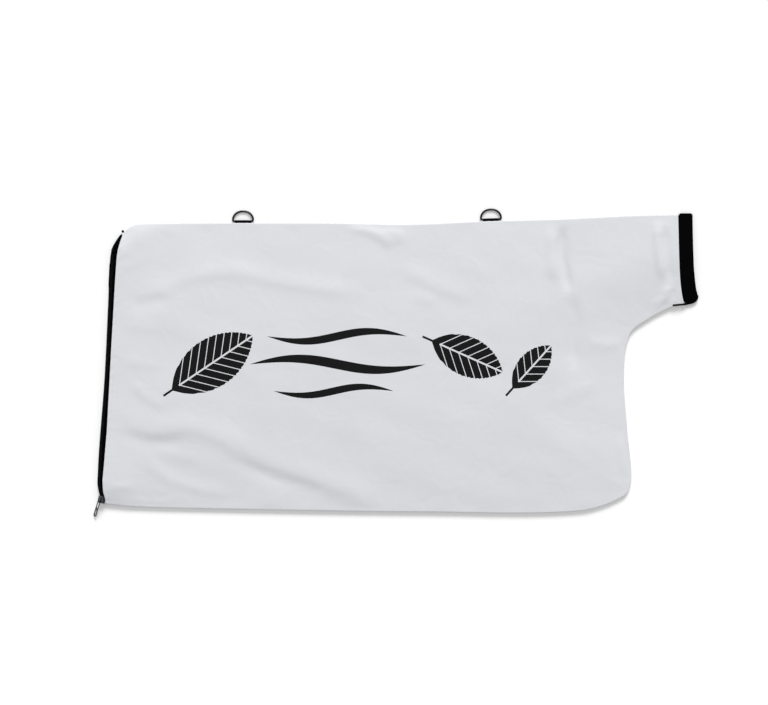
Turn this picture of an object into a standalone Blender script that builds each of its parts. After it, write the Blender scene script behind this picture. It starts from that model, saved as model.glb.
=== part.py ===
"""Collection bag of a blower vacuum, lying flat: two sewn cloth panels, a coil zip and an elastic neck."""

import math

import bmesh
import bpy
from mathutils import Matrix, Vector

MM = 0.001

# Bag outline, flat on the ground; the zip is at -X and the neck at +X
BODY_LENGTH = 0.784
BODY_WIDTH = 0.432
FOOT_CHAMFER_X = 0.074
FOOT_CHAMFER_Y = 0.022
SIDE_BOW = 0.006
NECK_LENGTH = 0.080
NECK_RISE = 0.013
MOUTH_WIDTH = 0.1345
MOUTH_LEAN = 0.010
MOUTH_BOW = 0.0046

# Cloth, seams and the way the bag stands up off the ground
CLOTH = 0.0008
GAP = 0.0003
SEAM_HEIGHT = 0.0036
SEAM_ROLL = 0.0012
SEAM_ALLOWANCE = 0.010
ALLOWANCE_END = 0.0016
ALLOWANCE_RUN = 0.030
BODY_HEIGHT = 0.0165
MOUTH_HEIGHT = 0.0150
SLOPE_REACH = 0.090
SLOPE_POWER = 2.2
NECK_FALL = 0.090
UNDERSIDE_REACH = 0.013
HEM_HEIGHT = 0.0124
HEM_REACH = 0.070
HEM_SLOPE_REACH = 0.033

# Mesh fineness of the cloth
COLUMN_STEP = 0.030
LEAST_COLUMNS = 3
FRONT_ROWS = 13
BACK_ROWS = 1
EDGE_ROWS = (0.004, 0.013)

# Zip: chain, tapes, stops
CHAIN_FOOT_X = 0.0058
CHAIN_FOOT_Y = 0.0172
CHAIN_HEAD_DROP = 0.0417
CHAIN_LEAN = math.radians(2.70)
CHAIN_FACE = math.radians(45.0)
CHAIN_HEIGHT = 0.0070
HEM_REVEAL = 0.0040
FOOT_REVEAL = 0.0065
HEAD_REVEAL = 0.0066
COIL_WIDTH = 0.0060
COIL_THICKNESS = 0.0022
COIL_PITCH = 0.00254
COIL_REACH = 0.0011
COIL_START = -0.0012
TAPE = 0.0006
TAPE_GAP = 0.0024
TAPE_UNDER_HEM = 0.010
TAPE_HEM_END = 0.0012
TAPE_RUN = 0.022
TAPE_FOOT = 0.0060
TAPE_OUT = 0.0013
TAPE_HEAD_RISE = 0.0250
TAPE_HEAD_SHIFT = 0.0110
HEAD_TIP_OUT = 0.0025
HEAD_TIP_RISE = 0.0035
FOOT_CORNER_RISE = 0.0093
HEAD_SINK = 0.0020
STOP_LENGTH = 0.0034
STOP_WIDTH = 0.0020

# Zip slider and pull
SLIDER_LENGTH = 0.0110
SLIDER_WALL = 0.0009
SLIDER_SIDE = 0.00085
CHANNEL_GAP = 0.00025
CHANNEL_BELOW = 0.0012
CHANNEL_ABOVE = 0.0030
SLOT_HALF = 0.00065
WEDGE_WIDTH = 0.0015
WEDGE_LENGTH = 0.0034
LUG_WIRE = 0.0007
LUG_FRONT = -0.0037
LUG_REAR = 0.0022
LUG_RISE = 0.0031
PULL_LENGTH = 0.0277
PULL_WIDTH = 0.0058
PULL_THICKNESS = 0.0015
PULL_BAR = 0.0015
PULL_WINDOW = 0.0120
PULL_EYE = 0.0085
PULL_EYE_WIDTH = 0.0032
PULL_BAR_SEAT = -0.0016
PULL_YAW = math.radians(24.0)
PULL_DROOP = math.radians(2.0)

# D-rings and their tape loops
RING_SPACING = 0.373
RING_WIRE = 0.0028
RING_WIDTH = 0.0340
RING_CORNER = 0.0030
RING_SQUARENESS = 2.25
LOOP_WIDTH = 0.025
LOOP_TAPE = 0.0005
LOOP_STEM = 0.0085
LOOP_PLAY = 0.00015
LOOP_LIFT_RUN = 0.030

# Elastic band round the neck's mouth
BAND_SHOWN = 0.021
BAND_LAP = 0.010
BAND_THICKNESS = 0.0013
BAND_INSET = 0.0022
BAND_FLARE = 0.0040
BAND_NARROWING = 0.0022
BAND_STEP = 0.0045
BAND_AROUND = 16

LEFT = -BODY_LENGTH / 2
RIGHT = BODY_LENGTH / 2
BOTTOM = -BODY_WIDTH / 2
TOP = BODY_WIDTH / 2
MOUTH_X = RIGHT + NECK_LENGTH
MOUTH_TOP = TOP + NECK_RISE
MOUTH_LOW = MOUTH_TOP - MOUTH_WIDTH
RING_RADIUS = (RING_WIDTH - RING_WIRE) / 2
BAR_OUT = RING_WIRE / 2 + LOOP_PLAY + LOOP_TAPE + 0.0002
ZIP_FOOT = Vector((LEFT - CHAIN_FOOT_X, BOTTOM + CHAIN_FOOT_Y))
CHAIN_HEAD_Y = TOP - CHAIN_HEAD_DROP
CHAIN_LENGTH = (CHAIN_HEAD_Y - ZIP_FOOT.y) / math.cos(CHAIN_LEAN)

# Folds of the lying cloth: start, end, half width, height at the middle
FOLDS = (
    ((LEFT + 0.018, -0.082), (-0.290, -0.108), 0.013, -0.0022),
    ((-0.290, -0.108), (-0.180, -0.118), 0.013, -0.0020),
    ((-0.180, -0.118), (-0.010, BOTTOM + 0.012), 0.013, -0.0024),
    ((LEFT + 0.040, 0.130), (0.080, 0.122), 0.016, -0.0012),
    ((0.030, TOP), (0.058, 0.172), 0.012, -0.0014),
    ((0.294, TOP), (0.298, 0.120), 0.012, 0.0018),
    ((0.345, 0.034), (RIGHT, 0.034), 0.010, -0.0012),
    ((MOUTH_X - 0.026, MOUTH_TOP), (MOUTH_X - 0.028, MOUTH_LOW), 0.008, -0.0010),
)


def clear_scene():
    for old in list(bpy.data.objects):
        bpy.data.objects.remove(old, do_unlink=True)


def smooth(value):
    value = min(max(value, 0.0), 1.0)
    return value * value * (3.0 - 2.0 * value)


def flat_cross(first, second):
    return first.x * second.y - first.y * second.x


class Path:
    """A smooth flat curve through its anchors, read by the share of its length."""

    FINE = 24

    def __init__(self, anchors):
        self.anchors = [Vector(anchor) for anchor in anchors]
        self.points = []
        self.marks = []
        last = len(self.anchors) - 1
        for index in range(last):
            self.marks.append(len(self.points))
            for step in range(self.FINE):
                self.points.append(self.between(index, step / self.FINE))
        self.marks.append(len(self.points))
        self.points.append(self.anchors[last])
        self.lengths = [0.0]
        for here, there in zip(self.points, self.points[1:]):
            self.lengths.append(self.lengths[-1] + (there - here).length)
        self.total = self.lengths[-1]

    def between(self, index, share):
        last = len(self.anchors) - 1
        p1 = self.anchors[index]
        p2 = self.anchors[index + 1]
        p0 = self.anchors[index - 1] if index else p1 * 2 - p2
        p3 = self.anchors[index + 2] if index + 2 <= last else p2 * 2 - p1
        chord = (p2 - p1).length
        start = (p2 - p0) * (chord / ((p1 - p0).length + chord))
        end = (p3 - p1) * (chord / ((p3 - p2).length + chord))
        s2 = share * share
        s3 = s2 * share
        return (
            p1 * (2 * s3 - 3 * s2 + 1)
            + start * (s3 - 2 * s2 + share)
            + p2 * (3 * s2 - 2 * s3)
            + end * (s3 - s2)
        )

    def at(self, share):
        target = min(max(share, 0.0), 1.0) * self.total
        index = 0
        while index < len(self.lengths) - 2 and self.lengths[index + 1] < target:
            index += 1
        span = self.lengths[index + 1] - self.lengths[index]
        part = (target - self.lengths[index]) / span
        return self.points[index].lerp(self.points[index + 1], part)

    def tangent(self, share):
        ahead = self.at(min(share + 0.004, 1.0))
        behind = self.at(max(share - 0.004, 0.0))
        return (ahead - behind).normalized()

    def distance(self, point):
        nearest = 1.0
        for here, there in zip(self.points[::4], self.points[4::4]):
            run = there - here
            part = min(max((point - here).dot(run) / run.length_squared, 0.0), 1.0)
            nearest = min(nearest, (point - here - run * part).length)
        return nearest

    def stations(self, step, least):
        """Shares of the length, so that each stretch between anchors has its own even steps."""
        shares = [0.0]
        for first, last in zip(self.marks, self.marks[1:]):
            low = self.lengths[first]
            high = self.lengths[last]
            count = max(least, math.ceil((high - low) / step))
            shares += [(low + (high - low) * k / count) / self.total for k in range(1, count + 1)]
        return shares

    def height_at(self, x):
        """The curve's Y where it passes this X, on a curve that runs towards +X."""
        for here, there in zip(self.points, self.points[1:]):
            if here.x <= x <= there.x:
                return here.lerp(there, (x - here.x) / (there.x - here.x)).y
        return self.points[-1].y


def chain_x(y):
    """X of the zip's middle line; past the chain's head it bends into the corner of the cloth."""
    straight = ZIP_FOOT.x + (y - ZIP_FOOT.y) * math.tan(CHAIN_LEAN)
    past = max((y - CHAIN_HEAD_Y) / TAPE_HEAD_RISE, 0.0)
    return straight + TAPE_HEAD_SHIFT * past**1.6


FOOT_CORNER = Vector((chain_x(ZIP_FOOT.y) + FOOT_REVEAL, BOTTOM + FOOT_CORNER_RISE))
TAPE_END_Y = CHAIN_HEAD_Y + TAPE_HEAD_RISE
HEAD_TIP = Vector((chain_x(TAPE_END_Y) + HEAD_TIP_OUT, TAPE_END_Y + HEAD_TIP_RISE))

LOWER = Path(
    (
        FOOT_CORNER,
        (LEFT + 0.038, BOTTOM + 0.0060),
        (LEFT + 0.224, BOTTOM + 0.0016),
        (0.080, BOTTOM - 0.0018),
        (RIGHT - FOOT_CHAMFER_X, BOTTOM - 0.0005),
        (RIGHT - 0.006, BOTTOM + FOOT_CHAMFER_Y),
        (RIGHT + 0.0050, BOTTOM + 0.046),
        (RIGHT - SIDE_BOW / 6, MOUTH_LOW - 0.190),
        (RIGHT - SIDE_BOW, MOUTH_LOW - 0.106),
        (RIGHT + 0.0028, MOUTH_LOW - 0.046),
        (RIGHT + 0.030, MOUTH_LOW - 0.023),
        (RIGHT + 0.068, MOUTH_LOW - 0.0035),
        (MOUTH_X + MOUTH_LEAN / 2, MOUTH_LOW),
    )
)
UPPER = Path(
    (
        HEAD_TIP,
        (HEAD_TIP.x + 0.0120, TOP - 0.0045),
        (HEAD_TIP.x + 0.0270, TOP - 0.0008),
        (-0.065, TOP + 0.0002),
        (0.060, TOP - 0.0020),
        (0.168, TOP + 0.0026),
        (0.295, TOP + 0.0062),
        (RIGHT, MOUTH_TOP - 0.0020),
        (MOUTH_X - MOUTH_LEAN / 2, MOUTH_TOP),
    )
)
HEM = Path(
    (
        FOOT_CORNER,
        *[
            (chain_x(y) + HEM_REVEAL, y)
            for y in (
                BOTTOM + 0.107 * BODY_WIDTH,
                BOTTOM + 0.315 * BODY_WIDTH,
                TOP - 0.315 * BODY_WIDTH,
                CHAIN_HEAD_Y - 0.070 * BODY_WIDTH,
            )
        ],
        (chain_x(CHAIN_HEAD_Y) + HEAD_REVEAL, CHAIN_HEAD_Y),
        HEAD_TIP,
    )
)


def mouth_at(share):
    """A point of the mouth's edge, which bows towards the bag, most of all in its lower half."""
    low = LOWER.anchors[-1]
    high = UPPER.anchors[-1]
    bow = MOUTH_BOW * math.sin(math.pi * min(max(share, 0.0), 1.0) ** 0.6)
    return low.lerp(high, share) - Vector((bow, 0.0))


def on_bag(across, along):
    """A point of the flat bag: across runs from the lower seam to the upper, along from zip to mouth."""
    low = LOWER.at(along)
    high = UPPER.at(along)
    hem = HEM.at(across)
    mouth = mouth_at(across)
    corners = (
        LOWER.anchors[0] * ((1 - across) * (1 - along))
        + UPPER.anchors[0] * (across * (1 - along))
        + LOWER.anchors[-1] * ((1 - across) * along)
        + UPPER.anchors[-1] * (across * along)
    )
    return low * (1 - across) + high * across + hem * (1 - along) + mouth * along - corners


def seam_distance(point):
    return min(LOWER.distance(point), UPPER.distance(point))


def fold_height(point):
    total = 0.0
    for start, end, width, height in FOLDS:
        start = Vector(start)
        run = Vector(end) - start
        share = (point - start).dot(run) / run.length_squared
        offset = abs(flat_cross(run, point - start)) / run.length
        ends = smooth((share + 0.10) / 0.20) * smooth((1.10 - share) / 0.20)
        total += height * ends * math.exp(-((offset / width) ** 2))
    return total


def front_height(point):
    """Height of the front panel's outer face over the ground."""
    seam = seam_distance(point)
    rise = 1.0 - (1.0 - min(seam / SLOPE_REACH, 1.0)) ** SLOPE_POWER
    neck = smooth((point.x - (MOUTH_X - NECK_FALL)) / NECK_FALL)
    crown = BODY_HEIGHT + (MOUTH_HEIGHT - BODY_HEIGHT) * neck
    base = SEAM_HEIGHT + GAP / 2 + 2 * SEAM_ROLL
    inside = max(point.x - chain_x(point.y) - HEM_REVEAL, 0.0)
    hem_share = (HEM_HEIGHT - base) / (BODY_HEIGHT - base)
    hem = hem_share + (1.0 - hem_share) * smooth(inside / HEM_REACH)
    quick = 1.0 - (1.0 - min(seam / HEM_SLOPE_REACH, 1.0)) ** SLOPE_POWER
    blend = smooth(inside / HEM_REACH)
    rise = rise * blend + quick * (1.0 - blend)
    folds = fold_height(point) * smooth(seam / 0.012) * smooth((inside + 0.004) / 0.020)
    return base + (crown - base) * rise * hem + folds


def back_height(point):
    """Height of the back panel's outer face: on the ground, and curling up to the seam."""
    seam = seam_distance(point)
    edge = SEAM_HEIGHT - GAP / 2 - 2 * SEAM_ROLL
    return edge * (1.0 - smooth((seam - SEAM_ROLL) / UNDERSIDE_REACH))


def loop_lift(x):
    """How far the allowances open for the tape of a ring loop, as a share."""
    nearest = min(abs(x - RING_SPACING / 2), abs(x + RING_SPACING / 2))
    plateau = LOOP_WIDTH / 2 + COLUMN_STEP
    return 1.0 - smooth((nearest - plateau) / LOOP_LIFT_RUN)


def allowance(share, total):
    """Depth of the turned-in cloth, cut back where the zip and the band are sewn in."""
    nearest = min(share, 1.0 - share) * total - BAND_LAP
    return ALLOWANCE_END + (SEAM_ALLOWANCE - ALLOWANCE_END) * smooth(nearest / ALLOWANCE_RUN)


def seam_rows(path, share, inward, side, lift):
    """Four points of a panel's rim, from the end of its allowance to the top of the seam's roll."""
    edge = path.at(share)
    tangent = path.tangent(share)
    normal = Vector((-tangent.y, tangent.x)) * inward
    base = SEAM_HEIGHT + side * (GAP / 2 + lift)
    depth = allowance(share, path.total)
    sets = (
        (depth, 0.0),
        (SEAM_ROLL, 0.0),
        (0.0, SEAM_ROLL),
        (SEAM_ROLL * 0.6, SEAM_ROLL * 1.9),
    )
    rows = []
    for back, up in sets:
        spot = edge + normal * back
        rows.append(Vector((spot.x, spot.y, base + side * up)))
    return rows


def across_shares(count, width):
    """Rows between the seams: a few at set distances, one by the chain's head, and even ones between."""
    near = [distance / width for distance in (*EDGE_ROWS, TAPE_HEAD_RISE + HEAD_TIP_RISE)]
    low = near[-1]
    middle = [low + (1.0 - 2 * low) * k / count for k in range(1, count)]
    return near + middle + [1.0 - share for share in reversed(near)]


def panel_rows(side, height, count):
    """Every column of a panel as a list of points, from the lower allowance to the upper one."""
    columns = []
    opening = LOOP_TAPE + GAP / 2
    for along in LOWER.stations(COLUMN_STEP, LEAST_COLUMNS):
        lower = seam_rows(LOWER, along, 1.0, side, 0.0)
        lift = opening * loop_lift(UPPER.at(along).x)
        upper = seam_rows(UPPER, along, -1.0, side, lift)
        middle = []
        width = (UPPER.at(along) - LOWER.at(along)).length
        for across in across_shares(count, width):
            spot = on_bag(across, along)
            middle.append(Vector((spot.x, spot.y, height(spot))))
        columns.append(lower + middle + upper[::-1])
    return columns


def link(mesh, name, collection):
    obj = bpy.data.objects.new(name, mesh)
    collection.objects.link(obj)
    return obj


def mesh_of(bm, name):
    mesh = bpy.data.meshes.new(name)
    bm.to_mesh(mesh)
    bm.free()
    return mesh


def finish(obj, colour, roughness, metallic=0.0, angle=40.0):
    material = bpy.data.materials.new(obj.name)
    material.use_nodes = True
    shader = material.node_tree.nodes["Principled BSDF"]
    shader.inputs["Base Color"].default_value = (*colour, 1.0)
    shader.inputs["Roughness"].default_value = roughness
    shader.inputs["Metallic"].default_value = metallic
    material.diffuse_color = (*colour, 1.0)
    obj.data.materials.clear()
    obj.data.materials.append(material)
    if obj.type == "MESH":
        obj.data.shade_smooth()
        obj.data.set_sharp_from_angle(angle=math.radians(angle))


CLOTH_LOOK = ((0.68, 0.69, 0.72), 0.62)
BLACK_LOOK = ((0.012, 0.012, 0.014), 0.70)
NICKEL_LOOK = ((0.60, 0.60, 0.62), 0.22, 1.0)
ZINC_LOOK = ((0.36, 0.36, 0.38), 0.30, 1.0)


def sheet(name, columns, thickness, collection, around=False):
    """A wall of cloth or tape: a grid laid on the given points, thickened away from its outer face."""
    count = len(columns) - 1
    rows = len(columns[0]) - 1
    bm = bmesh.new()
    bmesh.ops.create_grid(bm, x_segments=count, y_segments=rows, size=0.5)
    for vert in bm.verts:
        column = round((vert.co.x + 0.5) * count)
        row = round((vert.co.y + 0.5) * rows)
        vert.co = columns[column][row]
    if around:
        bmesh.ops.remove_doubles(bm, verts=bm.verts, dist=1e-6)
    obj = link(mesh_of(bm, name), name, collection)
    wall = obj.modifiers.new("wall", "SOLIDIFY")
    wall.thickness = abs(thickness)
    wall.offset = -1.0 if thickness > 0 else 1.0
    wall.use_even_offset = True
    return obj


def make_panels(collection):
    front = panel_rows(1.0, front_height, FRONT_ROWS)
    finish(sheet("front_panel", front, CLOTH, collection), *CLOTH_LOOK)
    back = panel_rows(-1.0, back_height, BACK_ROWS)
    finish(sheet("back_panel", back, -CLOTH, collection), *CLOTH_LOOK)


def band_section(out):
    """One closed section of the elastic band, this far out of the mouth, from its lower end round."""
    inner = CLOTH + GAP
    points = []
    loose = smooth((out - GAP) / BAND_SHOWN)
    low = (BAND_INSET + BAND_NARROWING * loose) / MOUTH_WIDTH
    high = 1.0 - (BAND_INSET - BAND_FLARE * smooth((out - GAP) / BAND_STEP)) / MOUTH_WIDTH
    shares = [low + (high - low) * k / BAND_AROUND for k in range(BAND_AROUND + 1)]
    for share in shares:
        spot = mouth_at(share)
        seam = max(min(share, 1.0 - share) * MOUTH_WIDTH, 0.0)
        rise = 1.0 - (1.0 - min(seam / SLOPE_REACH, 1.0)) ** SLOPE_POWER
        base = SEAM_HEIGHT + GAP / 2 + 2 * SEAM_ROLL
        top = base + (MOUTH_HEIGHT - base) * rise - inner - 3 * GAP
        least = back_height(spot) + inner + 2 * BAND_THICKNESS + GAP
        points.append(Vector((spot.x + out, spot.y, max(top, least))))
    for share in shares[::-1]:
        spot = mouth_at(share)
        points.append(Vector((spot.x + out, spot.y, back_height(spot) + inner)))
    points.append(points[0].copy())
    return points


def make_band(collection):
    sections = [band_section(out) for out in (-BAND_LAP, GAP, BAND_STEP, BAND_SHOWN)]
    band = sheet("neck_band", sections, BAND_THICKNESS, collection, around=True)
    finish(band, *BLACK_LOOK)


def zip_frame():
    """The zip's own axes at the slider: X to the front tape, Y along the chain, Z out of its face."""
    run = Vector((math.sin(CHAIN_LEAN), math.cos(CHAIN_LEAN), 0.0))
    out = Vector(
        (
            -math.cos(CHAIN_LEAN) * math.sin(CHAIN_FACE),
            math.sin(CHAIN_LEAN) * math.sin(CHAIN_FACE),
            math.cos(CHAIN_FACE),
        )
    )
    side = run.cross(out)
    frame = Matrix((side, run, out)).transposed().to_4x4()
    frame.translation = (ZIP_FOOT.x, ZIP_FOOT.y, CHAIN_HEIGHT)
    return frame


def tape_shares():
    """Shares of the hem from the foot of the tapes to their head: the panels' own rows and two ends."""
    width = (UPPER.at(0.0) - LOWER.at(0.0)).length
    foot = (ZIP_FOOT.y - TAPE_FOOT - FOOT_CORNER.y) / width
    head = 1.0 - HEAD_TIP_RISE / width
    rows = [share for share in across_shares(FRONT_ROWS, width) if foot < share < head]
    return [foot] + rows + [head]


def tape_end_share(y):
    """1 along the zip, falling to 0 at both ends, where the hidden edge of the tape narrows."""
    low = ZIP_FOOT.y - TAPE_FOOT
    return smooth(min(y - low, TAPE_END_Y - y) / TAPE_RUN)


def under_panel(share, depth, height):
    """A point of a panel's outer face, this far in from the hem along the panel's own row."""
    first_column = LOWER.stations(COLUMN_STEP, LEAST_COLUMNS)[1]
    hem = on_bag(share, 0.0)
    inner = on_bag(share, first_column)
    part = depth / (inner - hem).length
    spot = hem.lerp(inner, part)
    return Vector((spot.x, spot.y, height(hem) * (1.0 - part) + height(inner) * part))


def tape_section(share, side):
    """Points of one tape's outer face, from the chain's middle to the edge under the hem."""
    turn = zip_frame().to_3x3()
    y = HEM.at(share).y
    middle = chain_x(y)
    head = max((y - CHAIN_HEAD_Y) / TAPE_HEAD_RISE, 0.0)
    half = SLIDER_HALF + TAPE_OUT

    def at(across, out):
        offset = turn @ Vector((across * (1.0 - 0.68 * head), 0.0, out))
        return Vector((middle + offset.x, y, CHAIN_HEIGHT - HEAD_SINK * head + offset.z))

    hidden = TAPE_HEM_END + (TAPE_UNDER_HEM - TAPE_HEM_END) * tape_end_share(y)
    lower_face = Vector((0.0, 0.0, CLOTH * 1.25 + GAP))
    if side > 0:
        return [
            at(TAPE_GAP / 2, TAPE / 2),
            at(half, TAPE / 2),
            under_panel(share, 0.0, front_height) - lower_face,
            under_panel(share, hidden, front_height) - lower_face,
        ]
    on_back = Vector((0.0, 0.0, CLOTH + GAP))
    hem = under_panel(share, 0.0, back_height) + on_back
    fold = at(-half, TAPE / 2)
    drop = fold.z - hem.z
    curl = TAPE * min(drop / (4 * TAPE), 1.0)
    return [
        at(-TAPE_GAP / 2, TAPE / 2),
        fold,
        Vector((fold.x - curl, y, fold.z - drop * 0.35)),
        Vector((fold.x - curl / 3, y, hem.z + drop * 0.15)),
        Vector((fold.x + 2 * curl, y, hem.z)),
        hem,
        under_panel(share, hidden, back_height) + on_back,
    ]


SLIDER_HALF = COIL_WIDTH / 2 + CHANNEL_GAP + SLIDER_SIDE


def make_tapes(collection):
    for name, side in (("zip_tape_front", 1.0), ("zip_tape_back", -1.0)):
        sections = [tape_section(share, side) for share in tape_shares()]
        tape = sheet(name, sections, -TAPE * side, collection)
        finish(tape, *BLACK_LOOK)


def flat_solid(name, outlines, thickness, collection):
    """A plate lying on its own XY plane: the first outline is its edge, the others are its holes.

    The curve is filled in millimetres, because the fill drops very small triangles.
    """
    curve = bpy.data.curves.new(name, "CURVE")
    curve.dimensions = "2D"
    curve.fill_mode = "BOTH"
    curve.extrude = thickness / 2 / MM
    for outline in outlines:
        spline = curve.splines.new("POLY")
        spline.points.add(len(outline) - 1)
        for point, place in zip(spline.points, outline):
            point.co = (place[0] / MM, place[1] / MM, 0.0, 1.0)
        spline.use_cyclic_u = True
    plate = as_mesh(link(curve, name, collection), collection)
    plate.data.transform(Matrix.Scale(MM, 4))
    return plate


def raised_outline(name, outline, thickness, collection):
    """A plate with one outline and no holes, centred on its own XY plane."""
    bm = bmesh.new()
    corners = [bm.verts.new((x, y, -thickness / 2)) for x, y in outline]
    face = bm.faces.new(corners)
    raised = bmesh.ops.extrude_face_region(bm, geom=[face])
    tops = [item for item in raised["geom"] if isinstance(item, bmesh.types.BMVert)]
    bmesh.ops.translate(bm, verts=tops, vec=(0.0, 0.0, thickness))
    bmesh.ops.recalc_face_normals(bm, faces=bm.faces)
    return link(mesh_of(bm, name), name, collection)


def as_mesh(obj, collection):
    """The object's evaluated mesh as a new object in its place, with its loose caps joined."""
    graph = bpy.context.evaluated_depsgraph_get()
    mesh = bpy.data.meshes.new_from_object(obj.evaluated_get(graph))
    bm = bmesh.new()
    bm.from_mesh(mesh)
    bmesh.ops.remove_doubles(bm, verts=bm.verts, dist=1e-6)
    bmesh.ops.recalc_face_normals(bm, faces=bm.faces)
    bm.to_mesh(mesh)
    bm.free()
    name = obj.name
    place = obj.matrix_world.copy()
    bpy.data.objects.remove(obj, do_unlink=True)
    made = link(mesh, name, collection)
    made.matrix_world = place
    return made


def wire(name, points, radius, cyclic, collection):
    curve = bpy.data.curves.new(name, "CURVE")
    curve.dimensions = "3D"
    curve.bevel_depth = radius
    curve.bevel_resolution = 2
    curve.use_fill_caps = not cyclic
    spline = curve.splines.new("POLY")
    spline.points.add(len(points) - 1)
    for point, place in zip(spline.points, points):
        point.co = (*place, 1.0)
    spline.use_cyclic_u = cyclic
    return link(curve, name, collection)


def arc(centre, radius, start, end, steps):
    points = []
    for k in range(steps + 1):
        angle = math.radians(start + (end - start) * k / steps)
        points.append((centre[0] + radius * math.cos(angle), centre[1] + radius * math.sin(angle)))
    return points


def box(name, low, high, collection, bevel=0.0):
    bm = bmesh.new()
    bmesh.ops.create_cube(bm, size=1.0)
    for vert in bm.verts:
        for axis in range(3):
            vert.co[axis] = low[axis] if vert.co[axis] < 0 else high[axis]
    obj = link(mesh_of(bm, name), name, collection)
    if bevel:
        edges = obj.modifiers.new("edges", "BEVEL")
        edges.width = bevel
        edges.segments = 1
    return obj


def hide(cutter):
    cutter.hide_render = True
    cutter.display_type = "WIRE"


def combine(obj, other, operation):
    cut = obj.modifiers.new(other.name, "BOOLEAN")
    cut.operation = operation
    cut.object = other
    hide(other)


def make_coils(collection):
    """Each half of the chain is a bar whose inner edge meshes with the other half's, tooth in gap."""
    count = int((CHAIN_LENGTH - COIL_START) / COIL_PITCH)
    low = TAPE / 2 + GAP / 2
    for name, side in (("zip_coil_front", 1.0), ("zip_coil_back", -1.0)):
        outline = [(side * COIL_WIDTH / 2, COIL_START)]
        for k in range(2 * count + 1):
            reach = COIL_REACH / 2 * (1.0 if k % 2 else -1.0) + side * GAP / 2
            outline.append((reach, COIL_START + k * COIL_PITCH / 2))
        outline.append((side * COIL_WIDTH / 2, COIL_START + count * COIL_PITCH))
        coil = raised_outline(name, outline, COIL_THICKNESS, collection)
        lift = Matrix.Translation((0.0, 0.0, low + COIL_THICKNESS / 2))
        coil.matrix_world = zip_frame() @ lift
        finish(coil, *BLACK_LOOK)
    return COIL_START + count * COIL_PITCH


def make_stops(collection, cutters, chain_end):
    frame = zip_frame()
    low = -TAPE / 2 - GAP / 2
    for name, side in (("zip_top_stop_front", 1.0), ("zip_top_stop_back", -1.0)):
        inner = TAPE_GAP / 2 - 0.00025
        near = sorted((side * inner, side * (inner + STOP_WIDTH)))
        start = COIL_START - GAP - STOP_LENGTH
        stop = box(
            name,
            (near[0], start, -CHANNEL_BELOW + 0.0002),
            (near[1], COIL_START - GAP, TAPE / 2 + COIL_THICKNESS - 0.0002),
            collection,
        )
        slot = sorted((side * (TAPE_GAP / 2 - 0.0001), side * (inner + STOP_WIDTH + 0.001)))
        cutter = box(
            name + "_slot",
            (slot[0], start - 0.001, low),
            (slot[1], COIL_START + 0.001, -low),
            cutters,
        )
        stop.matrix_world = frame
        cutter.matrix_world = frame
        combine(stop, cutter, "DIFFERENCE")
        finish(stop, *ZINC_LOOK)
    rest = TAPE / 2 + GAP
    bottom = box(
        "zip_bottom_stop",
        (-COIL_WIDTH / 2, chain_end + GAP, rest),
        (COIL_WIDTH / 2, chain_end + GAP + STOP_LENGTH, rest + COIL_THICKNESS),
        collection,
        bevel=0.0003,
    )
    bottom.matrix_world = frame
    finish(bottom, *BLACK_LOOK)


def make_slider(collection, cutters):
    half = SLIDER_HALF
    long = SLIDER_LENGTH / 2
    outline = []
    for x, y, corner in ((half, -long, 0.0022), (half, long, 0.0012)):
        turn = -90.0 if y < 0 else 0.0
        centre = (x - corner, y - math.copysign(corner, y))
        outline += arc(centre, corner, turn, turn + 90.0, 4)
    outline += [(-x, y) for x, y in reversed(outline)]
    low = -CHANNEL_BELOW - SLIDER_WALL
    high = CHANNEL_ABOVE + SLIDER_WALL
    slider = flat_solid("zip_slider", [outline], high - low, collection)
    for vert in slider.data.vertices:
        vert.co.z += (high + low) / 2
    channel = half - SLIDER_SIDE
    inside = box(
        "slider_channel",
        (-channel, -2 * long, -CHANNEL_BELOW),
        (channel, 2 * long, CHANNEL_ABOVE),
        cutters,
    )
    slots = box(
        "slider_slots",
        (-2 * half, -2 * long, -SLOT_HALF),
        (2 * half, 2 * long, SLOT_HALF),
        cutters,
    )
    bm = bmesh.new()
    bmesh.ops.create_cone(
        bm,
        cap_ends=True,
        segments=4,
        radius1=0.5,
        radius2=0.5,
        depth=high - low - SLIDER_WALL,
    )
    for vert in bm.verts:
        vert.co.x *= WEDGE_WIDTH
        vert.co.y = vert.co.y * WEDGE_LENGTH + (COIL_START - GAP - WEDGE_LENGTH / 2)
        vert.co.z += (high + low) / 2
    wedge = link(mesh_of(bm, "slider_wedge"), "slider_wedge", cutters)
    top = high + LUG_RISE
    lug_points = (
        (0.0, LUG_FRONT, high - SLIDER_WALL / 2),
        (0.0, LUG_FRONT, top - 0.0009),
        (0.0, LUG_FRONT + 0.0009, top),
        (0.0, LUG_REAR - 0.0009, top),
        (0.0, LUG_REAR, top - 0.0009),
        (0.0, LUG_REAR, high - SLIDER_WALL / 2),
    )
    lug = as_mesh(wire("slider_lug", lug_points, LUG_WIRE, False, cutters), cutters)
    frame = zip_frame()
    for piece in (slider, inside, slots, wedge, lug):
        piece.matrix_world = frame
    combine(slider, inside, "DIFFERENCE")
    combine(slider, slots, "DIFFERENCE")
    combine(slider, wedge, "UNION")
    combine(slider, lug, "UNION")
    finish(slider, *ZINC_LOOK)


def rounded(half_width, low, high, corner, steps=4):
    """A rectangle about x = 0 from low to high in y, with round corners."""
    points = []
    for x, y, turn in (
        (half_width - corner, high - corner, 0.0),
        (-half_width + corner, high - corner, 90.0),
        (-half_width + corner, low + corner, 180.0),
        (half_width - corner, low + corner, 270.0),
    ):
        points += arc((x, y), corner, turn, turn + 90.0, steps)
    return points


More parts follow.
